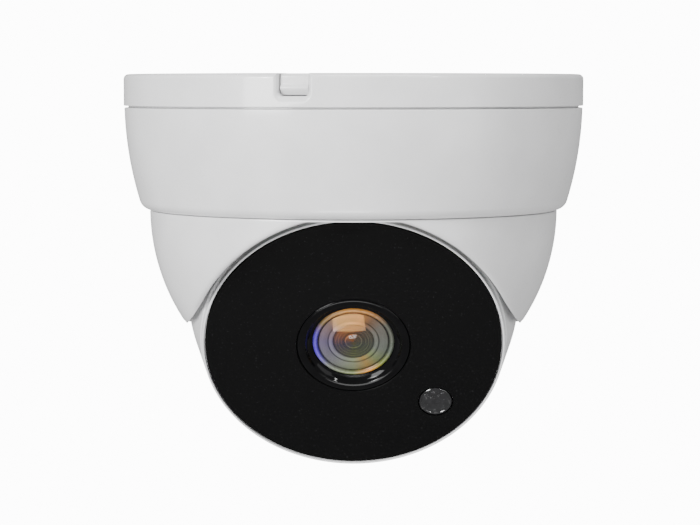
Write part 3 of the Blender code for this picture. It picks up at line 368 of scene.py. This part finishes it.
def makeSlotCover():
    half = base["notchWidth"] / 2 - slotCover["gap"]
    front = -base["radius"] + slotCover["set"]
    back = front + slotCover["thickness"]
    top, bottom = -0.1, -base["notchHeight"] + slotCover["gap"]
    lip = front - slotCover["ledge"]
    side = [(back, top), (front + slotCover["chamferDepth"], top), (front, top - slotCover["chamferHeight"]),
            (front, slotCover["panelEnd"]), (lip, slotCover["ledgeEnd"]),
            (lip + 0.05, slotCover["ledgeEnd"] - 0.3), (front + 0.8, bottom), (back, bottom)]
    bpy.ops.object.select_all(action="DESELECT")
    bpy.ops.mesh.primitive_circle_add(vertices=len(side), radius=1)
    tab = startEditing("breakOutTab")
    bpy.ops.object.mode_set(mode="OBJECT")
    for vertex, (y, z) in zip(tab.data.vertices, side):
        vertex.co = (-half * mm, y * mm, z * mm)
    bpy.ops.object.mode_set(mode="EDIT")
    bpy.ops.mesh.select_all(action="SELECT")
    bpy.ops.mesh.edge_face_add()
    bpy.ops.mesh.extrude_region_move(TRANSFORM_OT_translate={"value": (2 * half * mm, 0, 0)})
    stopEditing(tab)
    applyModifier(tab, "BEVEL", width=slotCover["edge"] * mm, segments=4, limit_method="ANGLE")
    bpy.ops.object.shade_smooth_by_angle(angle=math.radians(40))
    putPiece(tab, turn=(0, 0, -math.radians(base["notchTurn"])))
    dressPiece(tab, housingPaint, "base", "cable_slot_cover")


# Cover ring: a bulged, tapering wall with a soft lower corner and a lip inside

cover = {
    "wall": 2.4, "bulge": 84.0, "uprightAt": -6.0, "corner": 3.0, "topEdge": 0.3, "lip": 2.5,
    "radius": coverHigh.x, "top": coverHigh.z, "bottom": coverLow.z, "sides": 192,
}
shellLow, shellHigh = sizeOf("swivel_shell")


def coverRadius(z):
    return cover["radius"] - cover["bulge"] + math.sqrt(cover["bulge"] ** 2 - (z - cover["uprightAt"]) ** 2)


def makeCover():
    edge, corner, wall = cover["topEdge"], cover["corner"], cover["wall"]
    neck = swivel["neckRadius"] + 0.3
    lean = 0.0
    for _ in range(6):
        sideLow = cover["bottom"] + corner * (1 - math.sin(lean))
        lean = math.asin((cover["uprightAt"] - sideLow) / cover["bulge"])
    sideTop = cover["top"] - edge
    outline = curve((coverRadius(sideTop) - edge, sideTop), edge, 90, 0, 5)
    outline += [(coverRadius(z), z) for z in (sideTop + (sideLow - sideTop) * i / 14 for i in range(1, 14))]
    centre = (coverRadius(sideLow) - corner * math.cos(lean), cover["bottom"] + corner)
    outline += curve(centre, corner, -math.degrees(lean), -90, 12)
    lipTop = cover["bottom"] + cover["lip"]
    outline += [(neck + 0.4, cover["bottom"]), (neck, cover["bottom"] + 0.3), (neck, lipTop)]
    outline += [(coverRadius(z) - wall, z)
                for z in (lipTop + (cover["top"] - lipTop) * i / 3 for i in range(4))]
    ring = turnPiece("coverRing", outline, cover["sides"])
    hole = putPiece(peg("lockHole", 1.7, 48, 58, 32), (0, 0, sizeOf("cover_lock_screw")[0].z + 1.4),
                    (-math.pi / 2, 0, 0))
    cutPiece(ring, hole)
    applyModifier(ring, "WEIGHTED_NORMAL", keep_sharp=True, weight=80)
    dressPiece(ring, housingPaint, "base", "cover_ring")


# Swivelling shell: a ball-shaped wall under the cover; its front opening is a round arch with flared flanks

ballZ = ballCentre.z / mm
swivel = {
    "radius": shellHigh.x, "centre": coverLow.z, "wall": 2.2,
    "neckRadius": shellHigh.x - 3.3, "neckWall": 2.2,
    "neckTop": shellHigh.z, "rim": shellLow.z, "shoulder": coverLow.z - 0.1, "socket": 40.4,
    "socketTop": ballZ + 2.0, "sweep": 42.6, "reliefStart": 9.9, "reliefTurn": math.radians(15),
    "archRadius": 39.5, "archCentre": ballZ - 19.0, "archBend": math.radians(60), "flankRadius": 60.0,
    "edge": 0.35, "rimRound": 0.5, "archRound": 0.7, "roundDepth": 0.8, "tipLength": 2.0, "thinnest": 0.25,
    "columns": 256,
}


def archHeight(x):
    # height of the front opening's outline at a distance from the middle
    radius, bend, flank = swivel["archRadius"], swivel["archBend"], swivel["flankRadius"]
    kneeX = radius * math.sin(bend)
    kneeZ = swivel["archCentre"] + radius * math.cos(bend)
    if abs(x) <= kneeX:
        return swivel["archCentre"] + math.sqrt(radius**2 - x**2)
    flankX = kneeX + flank * math.sin(bend)
    flankZ = kneeZ + flank * math.cos(bend)
    return flankZ - math.sqrt(max(flank**2 - (flankX - abs(x)) ** 2, 0))


def wallOutside(z):
    return math.sqrt(swivel["radius"] ** 2 - (z - swivel["centre"]) ** 2)


def wallInside(z, turn):
    if z > swivel["socketTop"]:
        return math.sqrt((swivel["radius"] - swivel["wall"]) ** 2 - (z - swivel["centre"]) ** 2)
    down = z - ballZ
    inside = math.sqrt(swivel["socket"] ** 2 - down**2)
    forward = inside * math.cos(turn)
    relief = swivel["reliefTurn"]
    if forward * math.cos(relief) - down * math.sin(relief) > swivel["reliefStart"]:
        inside = math.sqrt(swivel["sweep"] ** 2 - down**2)
    return inside


def isOpen(z, turn, radius):
    return z < archHeight(radius * math.sin(turn))


def wallEnd(turn, radiusAt):
    # lowest height that the wall reaches at this turn; behind the tips it runs down to the rim in a soft bend
    if math.cos(turn) < 0:
        behind = (abs(turn) - math.pi / 2) * swivel["socket"]
        share = max(0.0, 1 - behind / swivel["tipLength"])
        return swivel["rim"] + share**2 * (wallEnd(math.pi / 2, radiusAt) - swivel["rim"])
    above = swivel["shoulder"] - 0.5
    steps = 120
    for i in range(1, steps + 1):
        z = above + (swivel["rim"] - above) * i / steps
        if isOpen(z, turn, radiusAt(z)):
            closed, opened = above + (swivel["rim"] - above) * (i - 1) / steps, z
            for _ in range(12):
                middle = (closed + opened) / 2
                if isOpen(middle, turn, radiusAt(middle)):
                    opened = middle
                else:
                    closed = middle
            return closed
    return swivel["rim"]


def roundDepth(z, turn):
    # how far the rounded edge of the wall falls back
    thickness = max(wallOutside(z) - wallInside(z, turn), swivel["thinnest"])
    return min(swivel["roundDepth"], 0.75 * thickness)


def shellSection(turn):
    neck, bore = swivel["neckRadius"], swivel["neckRadius"] - swivel["neckWall"]
    edge, shoulder = swivel["edge"], swivel["shoulder"]
    outerEnd = wallEnd(turn, lambda z: wallOutside(z) - roundDepth(z, turn))
    innerEnd = max(wallEnd(turn, lambda z: wallInside(z, turn)), outerEnd)
    roof = swivel["centre"] - swivel["wall"] - 0.3
    section = [(bore, swivel["neckTop"]), (neck, swivel["neckTop"]), (neck, shoulder)]
    section += [(wallOutside(shoulder) - edge, shoulder), (wallOutside(shoulder) - 0.1, shoulder - 0.1)]
    insideLow = min(wallInside(innerEnd, turn), wallOutside(outerEnd) - swivel["thinnest"])
    depth = roundDepth(outerEnd, turn)
    height = swivel["rimRound"] + swivel["archRound"] * min(1, (outerEnd - swivel["rim"]) / 3)
    start = shoulder - edge
    low = min(outerEnd + height, start - 0.1)
    for i in range(27):
        z = start + (low - start) * i / 26
        section.append((wallOutside(z), z))
    for a in (15, 30, 45, 60, 75, 90):
        z = outerEnd + (low - outerEnd) * (1 - math.sin(math.radians(a)))
        section.append((wallOutside(z) - depth * (1 - math.cos(math.radians(a))), z))
    section.append((insideLow, innerEnd))
    ledge = swivel["socketTop"]
    for i in range(1, 6):
        z = innerEnd + (max(ledge, innerEnd) - innerEnd) * i / 5
        section.append((min(wallInside(z, turn), wallOutside(z) - swivel["thinnest"]), z))
    for i in range(8):
        z = max(ledge, innerEnd) + 0.01 + (max(roof, innerEnd) - max(ledge, innerEnd)) * i / 7
        section.append((math.sqrt((swivel["radius"] - swivel["wall"]) ** 2 - (z - swivel["centre"]) ** 2), z))
    boreLow = roof + 0.3
    if math.cos(turn) > 0:
        boreLow = max(boreLow, min(archHeight(bore * math.sin(turn)), shoulder))
    section.append((bore, boreLow))
    return section


def makeShell():
    columns = swivel["columns"]
    turns = [2 * math.pi * i / columns for i in range(columns)]
    sections = [shellSection(turn if turn <= math.pi else turn - 2 * math.pi) for turn in turns]
    bpy.ops.object.select_all(action="DESELECT")
    bpy.ops.mesh.primitive_torus_add(major_segments=columns, minor_segments=len(sections[0]),
                                     major_radius=0.05, minor_radius=0.01)
    shell = startEditing("swivelShell")
    bpy.ops.object.mode_set(mode="OBJECT")
    spots = [(radius * math.sin(turn) * mm, -radius * math.cos(turn) * mm, z * mm)
             for turn, section in zip(turns, sections) for radius, z in section]
    for vertex, spot in zip(shell.data.vertices, spots):
        vertex.co = spot
    bpy.ops.object.mode_set(mode="EDIT")
    stopEditing(shell, 32)
    dressPiece(shell, housingPaint, "swivel", "swivel_shell")


makeBase()
makeSlotCover()
print("base made")
makeCover()
makeShell()
print("cover and shell made")


# Ball housings, in the ball's own axes: a sphere behind, a cone from it to the window's rim in front

rimLow, rimHigh = sizeInBall("trim_ring")
frontHigh = sizeInBall("ball_front_housing")[1]
windowLow, windowHigh = sizeInBall("front_window")
ball = {
    "radius": 40.0, "wall": 2.5, "rimRadius": rimHigh.x, "face": windowHigh.z, "parting": -4.0, "gap": 0.3,
    "gland": 5.3, "screwCircle": 27.0, "screwTurns": (90, 210, 330), "screwHole": 2.4,
    "edge": 0.25, "landStep": 2.2, "landWidth": 5.5, "landBelow": 1.1, "sides": 192,
}


def coneStart():
    # where the straight line to the rim leaves the sphere
    reach = math.hypot(ball["rimRadius"], ball["face"])
    lean = math.atan2(ball["rimRadius"], ball["face"])
    return ball["radius"] * math.cos(lean + math.acos(ball["radius"] / reach))


def ballOutside(s):
    start = coneStart()
    if s <= start:
        return math.sqrt(ball["radius"] ** 2 - s**2)
    share = (s - start) / (ball["face"] - start)
    return math.sqrt(ball["radius"] ** 2 - start**2) * (1 - share) + ball["rimRadius"] * share


def makeHousings():
    radius, wall, gap = ball["radius"], ball["wall"], ball["gap"]
    face, start, front = ball["parting"] + gap / 2, coneStart(), frontHigh.z
    edge, step, land = ball["edge"], ball["landStep"], windowLow.z - ball["landBelow"]
    bore = rimHigh.x - ball["landWidth"]
    top = math.degrees(math.asin(start / radius))
    outline = [(ballOutside(face) - edge, face)]
    outline += curve((0, 0), radius, math.degrees(math.asin((face + 0.2) / radius)), top, 12)
    outline += [(ballOutside(s), s) for s in (start + (front - edge - start) * i / 6 for i in range(1, 7))]
    outline += [(ballOutside(front) - edge, front), (-rimLow.x - step, front), (rimHigh.x - step, land)]
    outline += [(bore, land), (bore, land - step), (ballOutside(land - step) - wall, land - step)]
    outline += [(ballOutside(start) - wall, start), (radius - wall, 0), (ballOutside(face) - 4.5, face)]
    housing = turnPiece("ballFrontHousing", outline, ball["sides"])
    dressPiece(putInBall(housing), housingPaint, "ball", "ball_front_housing")

    face = ball["parting"] - gap / 2
    end = -math.degrees(math.acos(ball["gland"] / radius))
    inner = radius - wall
    outline = [(ballOutside(face) - edge, face)]
    outline += curve((0, 0), radius, math.degrees(math.asin((face - 0.2) / radius)), end, 28)
    outline += curve((0, 0), inner, -math.degrees(math.acos(ball["gland"] / inner)),
                     math.degrees(math.asin(face / inner)), 10)
    housing = turnPiece("ballRearHousing", outline, ball["sides"])
    for angle in ball["screwTurns"]:
        spot = onCircle(ball["screwCircle"], angle)
        cutPiece(housing, putPiece(peg("screwHole", ball["screwHole"], -50, -12, 40), spot))
    applyModifier(housing, "WEIGHTED_NORMAL", keep_sharp=True, weight=80)
    dressPiece(putInBall(housing), housingPaint, "ball", "ball_rear_housing")


# Rim, window and light sensor

plugLow, plugHigh = sizeInBall("light_sensor_window")
hoodLow, hoodHigh = sizeInBall("lens_hood")
plug = {"radius": (plugHigh.x - plugLow.x) / 2, "at": (plugLow + plugHigh) / 2, "dome": 0.25, "rim": 0.45}


def makeRimAndWindow():
    inner, outer = windowHigh.x + 0.3, rimHigh.x
    outline = [(inner, rimLow.z), (outer - 0.02, rimLow.z)]
    outline += curve((outer - 0.28, rimHigh.z - 0.28), 0.28, 0, 90, 5)
    outline += curve((inner + 0.12, rimHigh.z - 0.12), 0.12, 90, 180, 3)
    rim = turnPiece("windowRim", outline, 192)
    dressPiece(putInBall(rim), housingPaint, "ball", "trim_ring")

    edge = 0.12
    inner = hoodHigh.x + 0.05
    outline = [(inner, windowLow.z), (windowHigh.x, windowLow.z), (windowHigh.x, windowHigh.z - edge)]
    outline += [(windowHigh.x - edge, windowHigh.z), (inner + edge, windowHigh.z)]
    outline += [(inner, windowHigh.z - edge)]
    window = turnPiece("blackWindow", outline, 160)
    hole = peg("sensorHole", plug["radius"] + 0.3, windowLow.z - 1, windowHigh.z + 1, 64)
    cutPiece(window, putPiece(hole, (plug["at"].x, plug["at"].y, 0)))
    dressPiece(putInBall(window), windowBlack, "ball", "front_window")


def makeSensorPlug():
    radius, face = plug["radius"], plugHigh.z
    outline = [(0.3, plugLow.z), (radius, plugLow.z), (radius, face - 0.15), (radius - 0.12, face)]
    reach, level = radius - plug["rim"] - 0.12, face - 0.14
    outline += [(radius - plug["rim"], face), (reach, level)]
    outline += [(reach * (1 - i / 8) + 0.2 * i / 8,
                 level + plug["dome"] * math.sin(math.pi / 2 * i / 8) * 0.5) for i in range(1, 9)]
    piece = turnPiece("sensorWindow", outline, 64, ring=False)
    putPiece(piece, (plug["at"].x, plug["at"].y, 0))
    dressPiece(putInBall(piece), smokedPlastic, "ball", "light_sensor_window")


def smokedFinish():
    finish, tree, shader = newFinish("smokedPlastic", (0.05, 0.05, 0.052), 0.12)
    drift = noiseNode(tree, 900, 3.0)
    tree.links.new(rampNode(tree, drift, [(0.35, (0.004, 0.004, 0.0045)), (0.62, (0.010, 0.010, 0.011)),
                                          (0.74, (0.05, 0.05, 0.05))]), shader.inputs["Base Color"])
    bumpNode(tree, shader, drift, 0.15)
    shader.inputs["Coat Weight"].default_value = 0.4
    return finish


smokedPlastic = smokedFinish()
makeHousings()
makeRimAndWindow()
makeSensorPlug()
print("ball made")


# Lens: hood, retaining ring, coated front element, barrel and dark inner element; ring, barrel and inner
# element carry painted reflections, painted shade rings and painted groove shading

ringLow, ringHigh = sizeInBall("lens_retaining_ring")
barrelLow = sizeInBall("lens_barrel")[0]
# the groove pitch is the spacing of the painted groove shading on the ring, barrel and inner element
lens = {
    "hood": hoodHigh.x, "throat": 11.1, "front": ringHigh.z, "ring": 9.6, "ringInner": 8.35, "glass": 8.25,
    "glassBulge": 1.1, "band": 5.95, "core": 4.8, "paintedGroovePitch": 0.27, "eye": 1.9,
}


def lensPlace(tree):
    # the turn round the lens axis (0 below, 0.25 left, 0.5 above, 0.75 right) and the share of a 10 mm radius
    place = tree.nodes.new("ShaderNodeTexCoord")
    mapping = tree.nodes.new("ShaderNodeMapping")
    mapping.vector_type = "TEXTURE"
    mapping.inputs["Location"].default_value = ballCentre
    mapping.inputs["Rotation"].default_value = ballTurn
    tree.links.new(place.outputs["Object"], mapping.inputs["Vector"])
    split = tree.nodes.new("ShaderNodeSeparateXYZ")
    tree.links.new(mapping.outputs["Vector"], split.inputs["Vector"])
    turn = tree.nodes.new("ShaderNodeMath")
    turn.operation = "ARCTAN2"
    tree.links.new(split.outputs["X"], turn.inputs[0])
    tree.links.new(split.outputs["Y"], turn.inputs[1])
    flat = tree.nodes.new("ShaderNodeVectorMath")
    flat.operation = "MULTIPLY"
    flat.inputs[1].default_value = (1, 1, 0)
    tree.links.new(mapping.outputs["Vector"], flat.inputs[0])
    reach = tree.nodes.new("ShaderNodeVectorMath")
    reach.operation = "LENGTH"
    tree.links.new(flat.outputs["Vector"], reach.inputs[0])
    radius = rangeNode(tree, reach.outputs["Value"], 0.0, 1.0, 0.0, 10 * mm)
    return rangeNode(tree, turn.outputs["Value"], 0.0, 1.0, -math.pi, math.pi), radius


def paintedReflectionFinish(name, stops, paintedShadeRings, roughness, ior):
    # painted reflections: coating tints that change round the lens, times painted light and shade rings that
    # change with the radius, times painted shading of fine grooves
    finish, tree, shader = newFinish(name, (0.1, 0.1, 0.1), roughness)
    turn, radius = lensPlace(tree)
    # painted reflections: coating tints set by the turn round the lens axis
    colour = rampNode(tree, turn, stops)
    # painted light and shade: bright and dark rings set by the radius
    shade = rampNode(tree, radius, [(reach / 10, (value, value, value)) for reach, value in paintedShadeRings])
    # painted groove shading: a fine sine of the radius darkens narrow rings
    paintedGroovePhase = tree.nodes.new("ShaderNodeMath")
    paintedGroovePhase.operation = "MULTIPLY"
    paintedGroovePhase.inputs[1].default_value = 2 * math.pi * 10 / lens["paintedGroovePitch"]
    paintedGrooveShade = tree.nodes.new("ShaderNodeMath")
    paintedGrooveShade.operation = "SINE"
    tree.links.new(radius, paintedGroovePhase.inputs[0])
    tree.links.new(paintedGroovePhase.outputs["Value"], paintedGrooveShade.inputs[0])
    mixed = tree.nodes.new("ShaderNodeVectorMath")
    mixed.operation = "MULTIPLY"
    tree.links.new(colour, mixed.inputs[0])
    tree.links.new(shade, mixed.inputs[1])
    scaled = tree.nodes.new("ShaderNodeVectorMath")
    scaled.operation = "SCALE"
    tree.links.new(mixed.outputs["Vector"], scaled.inputs[0])
    tree.links.new(rangeNode(tree, paintedGrooveShade.outputs["Value"], 0.82, 1.0, -1.0, 1.0), scaled.inputs["Scale"])
    tree.links.new(scaled.outputs["Vector"], shader.inputs["Base Color"])
    tree.links.new(rangeNode(tree, noiseNode(tree, 1500, 2.0), roughness, roughness * 1.4),
                   shader.inputs["Roughness"])
    shader.inputs["IOR"].default_value = ior
    return finish


# Painted reflections of the lens coating, by the turn round the lens axis: violet on the left, orange above,
# yellow-green and orange low on the right
ringPaintedReflections = [(0.0, (0.20, 0.24, 0.09)), (0.12, (0.17, 0.18, 0.17)), (0.2, (0.10, 0.05, 0.55)),
               (0.29, (0.10, 0.06, 0.50)), (0.35, (0.22, 0.15, 0.06)), (0.46, (0.55, 0.24, 0.04)),
               (0.56, (0.42, 0.18, 0.04)), (0.66, (0.09, 0.09, 0.07)), (0.80, (0.11, 0.13, 0.10)),
               (0.87, (0.20, 0.24, 0.04)), (0.93, (0.70, 0.28, 0.04)), (1.0, (0.20, 0.24, 0.09))]
barrelPaintedReflections = [(0.0, (0.38, 0.42, 0.26)), (0.12, (0.30, 0.30, 0.32)), (0.25, (0.30, 0.25, 0.36)),
                 (0.36, (0.42, 0.28, 0.26)), (0.42, (0.80, 0.40, 0.13)), (0.54, (0.80, 0.34, 0.09)),
                 (0.60, (0.30, 0.17, 0.10)), (0.66, (0.24, 0.23, 0.20)), (0.80, (0.24, 0.26, 0.22)),
                 (0.87, (0.30, 0.36, 0.14)), (0.93, (0.58, 0.34, 0.08)), (1.0, (0.38, 0.42, 0.26))]
innerPaintedReflections = [(0.0, (0.16, 0.17, 0.07)), (0.2, (0.16, 0.11, 0.07)), (0.36, (0.80, 0.24, 0.06)),
                (0.47, (0.75, 0.22, 0.05)), (0.60, (0.16, 0.12, 0.09)), (0.85, (0.12, 0.13, 0.06)),
                (1.0, (0.16, 0.17, 0.07))]
# Painted light and shade rings, radius in mm against brightness: bright lines where edges would catch light,
# dark lines where gaps would lie in shade
ringPaintedShade = [(8.3, 0.25), (8.6, 0.5), (8.95, 1.0), (9.3, 0.8), (9.6, 1.0)]
barrelPaintedShade = [(4.8, 0.3), (4.95, 0.75), (5.3, 1.0), (5.75, 0.9), (5.9, 0.15), (6.05, 0.15), (6.2, 0.7),
               (7.8, 0.75), (8.05, 0.6), (8.15, 0.06), (8.6, 0.05)]
innerPaintedShade = [(0.0, 0.25), (1.75, 0.3), (1.88, 1.0), (1.98, 0.9), (2.1, 0.12), (2.75, 0.2), (2.85, 0.7),
              (2.95, 0.22), (3.45, 0.3), (3.55, 0.85), (3.65, 0.25), (4.1, 0.35), (4.2, 0.8), (4.3, 0.2),
              (4.6, 0.25), (4.72, 0.06), (4.9, 0.05)]
# these three finishes carry painted reflections, painted shade rings and painted groove shading
ringPaintedLight = paintedReflectionFinish("ringPaintedLight", ringPaintedReflections, ringPaintedShade, 0.25, 1.5)
barrelPaintedLight = paintedReflectionFinish("barrelPaintedLight", barrelPaintedReflections, barrelPaintedShade, 0.4, 1.4)
innerGlassPaintedLight = paintedReflectionFinish("innerGlassPaintedLight", innerPaintedReflections, innerPaintedShade, 0.05, 1.8)


tintColours = [(0.0, (0.7, 0.8, 0.3)), (0.25, (0.4, 0.3, 1.0)), (0.40, (1.0, 0.56, 0.20)),
               (0.56, (1.0, 0.48, 0.16)), (0.75, (0.6, 0.7, 0.6)), (1.0, (0.7, 0.8, 0.3))]


def frontGlassFinish():
    # thin clear glass whose reflections take the coating's tints
    finish, tree, shader = newFinish("frontGlass", (0.02, 0.02, 0.02), 0.03)
    turn = lensPlace(tree)[0]
    tree.links.new(rampNode(tree, turn, tintColours), shader.inputs["Specular Tint"])
    tree.links.new(rangeNode(tree, noiseNode(tree, 700, 2.0), 0.02, 0.03), shader.inputs["Roughness"])
    shader.inputs["Alpha"].default_value = 0.2
    shader.inputs["IOR"].default_value = 3.0
    return finish


frontGlass = frontGlassFinish()


def domeOutline(radius, base, height, back, steps=10):
    # a solid lens: flat back, straight edge and a domed front, from axis to axis
    big = (radius**2 + height**2) / (2 * height)
    widest = math.asin(radius / big)
    outline = [(0.15, back), (radius, back)]
    outline += [(max(big * math.sin(widest * (1 - i / steps)), 0.15),
                 base + big * math.cos(widest * (1 - i / steps)) - big + height) for i in range(steps + 1)]
    return outline


def makeLens():
    throat, hood, face, front = lens["throat"], lens["hood"], hoodHigh.z, lens["front"]
    bore = lens["ring"] + 0.12
    outline = [(bore, hoodLow.z), (hood, hoodLow.z), (hood, face - 0.15)]
    outline += [(hood - 0.02, face - 0.1), (hood - 0.34, face + 0.16), (hood - 0.42, face + 0.19)]
    outline += [(throat + 0.5, face + 0.1), (throat + 0.3, face + 0.04), (throat + 0.15, face - 0.12)]
    outline += [(throat - 0.1, front + 0.5), (throat - 0.35, front + 0.25), (throat - 0.8, front - 0.12),
                (bore, front - 0.2)]
    dressPiece(putInBall(turnPiece("lensHood", outline, 160)), hoodBlack, "ball",
               "lens_hood")

    inner, outer = lens["ringInner"], lens["ring"]
    middle, half = (inner + outer) / 2, (outer - inner) / 2
    outline = [(inner, ringLow.z), (outer, ringLow.z), (outer, front - 0.55)]
    outline += [(middle + half * math.cos(math.radians(a)), front - 0.5 + 0.5 * math.sin(math.radians(a)))
                for a in range(0, 181, 15)]
    dressPiece(putInBall(turnPiece("retainingRing", outline, 160)), ringPaintedLight, "ball",
               "lens_retaining_ring")

    outline = domeOutline(lens["glass"], front - 0.1, lens["glassBulge"], front - 0.2)
    dressPiece(putInBall(turnPiece("frontElement", outline, 128, ring=False)), frontGlass, "ball",
               "lens_front_element")

    core, band, seat = lens["core"] + 0.06, lens["band"], lens["glass"] - 0.05
    outline = [(core, front - 4), (core, front - 0.5), (core + 0.1, front - 0.42),
               (band - 0.14, front - 0.42)]
    outline += [(band - 0.04, front - 0.5), (band + 0.08, front - 0.5), (band + 0.16, front - 0.45)]
    outline += [(seat - 0.15, front - 0.42), (seat, front - 0.5), (seat + 0.02, front - 0.7)]
    outline += [(lens["ring"], front - 0.7 - 1.2), (lens["ring"], barrelLow.z + 8)]
    outline += [(6.0, barrelLow.z + 8), (6.0, barrelLow.z), (3.5, barrelLow.z), (3.5, front - 4)]
    dressPiece(putInBall(turnPiece("lensBarrel", outline, 160, sharp=60)), barrelPaintedLight, "ball",
               "lens_barrel")

    radius, eye, level = lens["core"], lens["eye"], front - 0.5
    outline = [(0.15, front - 3), (radius, front - 3), (radius, level - 0.05), (radius - 0.06, level)]
    outline += [(radius - 0.5, level + 0.04), (eye + 0.6, level + 0.02), (eye + 0.08, level - 0.04)]
    outline += [(max(eye * (1 - i / 10), 0.1), level - 0.04 + 0.25 * (1 - (1 - i / 10) ** 2))
                for i in range(11)]
    dressPiece(putInBall(turnPiece("innerElement", outline, 96, ring=False, sharp=25)), innerGlassPaintedLight, "ball",
               "lens_inner_element")


makeLens()
print("lens made")


# CAD pieces that stay as they are get their finish here

finishOfNode = {
    "ceiling_gasket": gasketFoam, "cover_seal": sealRubber, "cable_grommet": sealRubber,
    "housing_seal": sealRubber, "window_gasket": sealRubber, "light_sensor_sleeve": sealRubber,
    "friction_pad": sealRubber, "cover_lock_screw": zincSteel, "clamp_bracket": zincSteel,
    "bracket_screw": zincSteel, "housing_screw": zincSteel, "board_post": zincSteel,
    "led_board_post": zincSteel, "led_board_screw": zincSteel, "pan_glide_ring": milkNylon,
    "guide_collar": milkNylon, "cable_gland": blackPlastic, "lens_holder": blackPlastic,
    # the IR-cut filter shares the inner element's finish with its painted reflections and painted shade rings
    "ir_cut_filter": innerGlassPaintedLight, "image_sensor": chipBlack, "light_sensor": chipBlack,
    "sensor_board": boardGreen, "main_board": boardGreen, "ir_board": boardWhite, "ir_led": ledLens,
}
for name, node in frame["nodes"].items():
    plainName = name.rstrip("0123456789").rstrip("_")
    finish = finishOfNode.get(name) or finishOfNode.get(plainName)
    if finish:
        for slot in node.material_slots:
            slot.material = finish


# Studio: pale sweep, soft lights and camera

studio = {
    "floor": -0.62, "reach": 2.4, "bend": 0.8, "sweepGlow": 12.0, "air": 0.52,
    "lens": 117.35, "distance": 0.55, "cameraHeight": -0.003, "pitch": 4.405, "shiftX": -0.005,
}


def makeSweep():
    # a wide round dish: floor, soft bend and wall, bright to the eye but casting no light of its own
    reach, bend, floor = studio["reach"] / mm, studio["bend"] / mm, studio["floor"] / mm
    outline = [(20, floor), (reach - bend, floor)]
    outline += curve((reach - bend, floor + bend), bend, -90, 0, 10)[1:] + [(reach, floor + bend + 2500)]
    sweep = turnPiece("studioSweep", outline, 96, ring=False)
    bpy.ops.object.shade_smooth()
    finish, _, shader = newFinish("paleSweep", (0.92, 0.92, 0.92), 0.9)
    shader.inputs["Emission Color"].default_value = (1, 1, 1, 1)
    shader.inputs["Emission Strength"].default_value = studio["sweepGlow"]
    sweep.data.materials.append(finish)
    sweep.visible_diffuse = sweep.visible_glossy = sweep.visible_shadow = False


def addSoftbox(name, place, aim, size, power):
    light = bpy.data.lights.new(name, "AREA")
    light.shape = "RECTANGLE"
    light.size, light.size_y = size
    light.energy = power
    lamp = bpy.data.objects.new(name, light)
    bpy.context.scene.collection.objects.link(lamp)
    lamp.location = place
    lamp.visible_camera = False
    lamp.rotation_euler = (Vector(aim) - Vector(place)).to_track_quat("-Z", "Y").to_euler()


def makeStudio():
    makeSweep()
    world = bpy.data.worlds.new("studioAir")
    bpy.context.scene.world = world
    world.use_nodes = True
    world.node_tree.nodes["Background"].inputs["Color"].default_value = (1, 1, 1, 1)
    world.node_tree.nodes["Background"].inputs["Strength"].default_value = studio["air"]
    middle = (0, 0, -0.045)
    addSoftbox("keyBox", (-0.85, -0.95, 0.25), middle, (0.55, 0.72), 22)
    addSoftbox("sparkLeft", (-0.85, -0.95, 0.47), middle, (0.26, 0.26), 9)
    addSoftbox("sparkRight", (0.8, -0.9, 0.7), middle, (0.12, 0.16), 4)
    addSoftbox("lowBox", (-0.05, -0.56, -0.575), middle, (0.34, 0.24), 2.6)
    addSoftbox("fillBox", (0.95, -0.8, 0.05), middle, (0.6, 0.8), 3.2)
    addSoftbox("topBox", (0.1, -0.35, 0.8), middle, (0.7, 0.5), 6)
    camera = bpy.data.cameras.new("camera")
    camera.lens = studio["lens"]
    camera.shift_x = studio["shiftX"]
    camera.clip_start = 0.01
    eye = bpy.data.objects.new("camera", camera)
    bpy.context.scene.collection.objects.link(eye)
    eye.location = (0, -studio["distance"], studio["cameraHeight"])
    eye.rotation_euler = (math.radians(90 - studio["pitch"]), 0, 0)
    bpy.context.scene.camera = eye


makeStudio()
print("studio set")
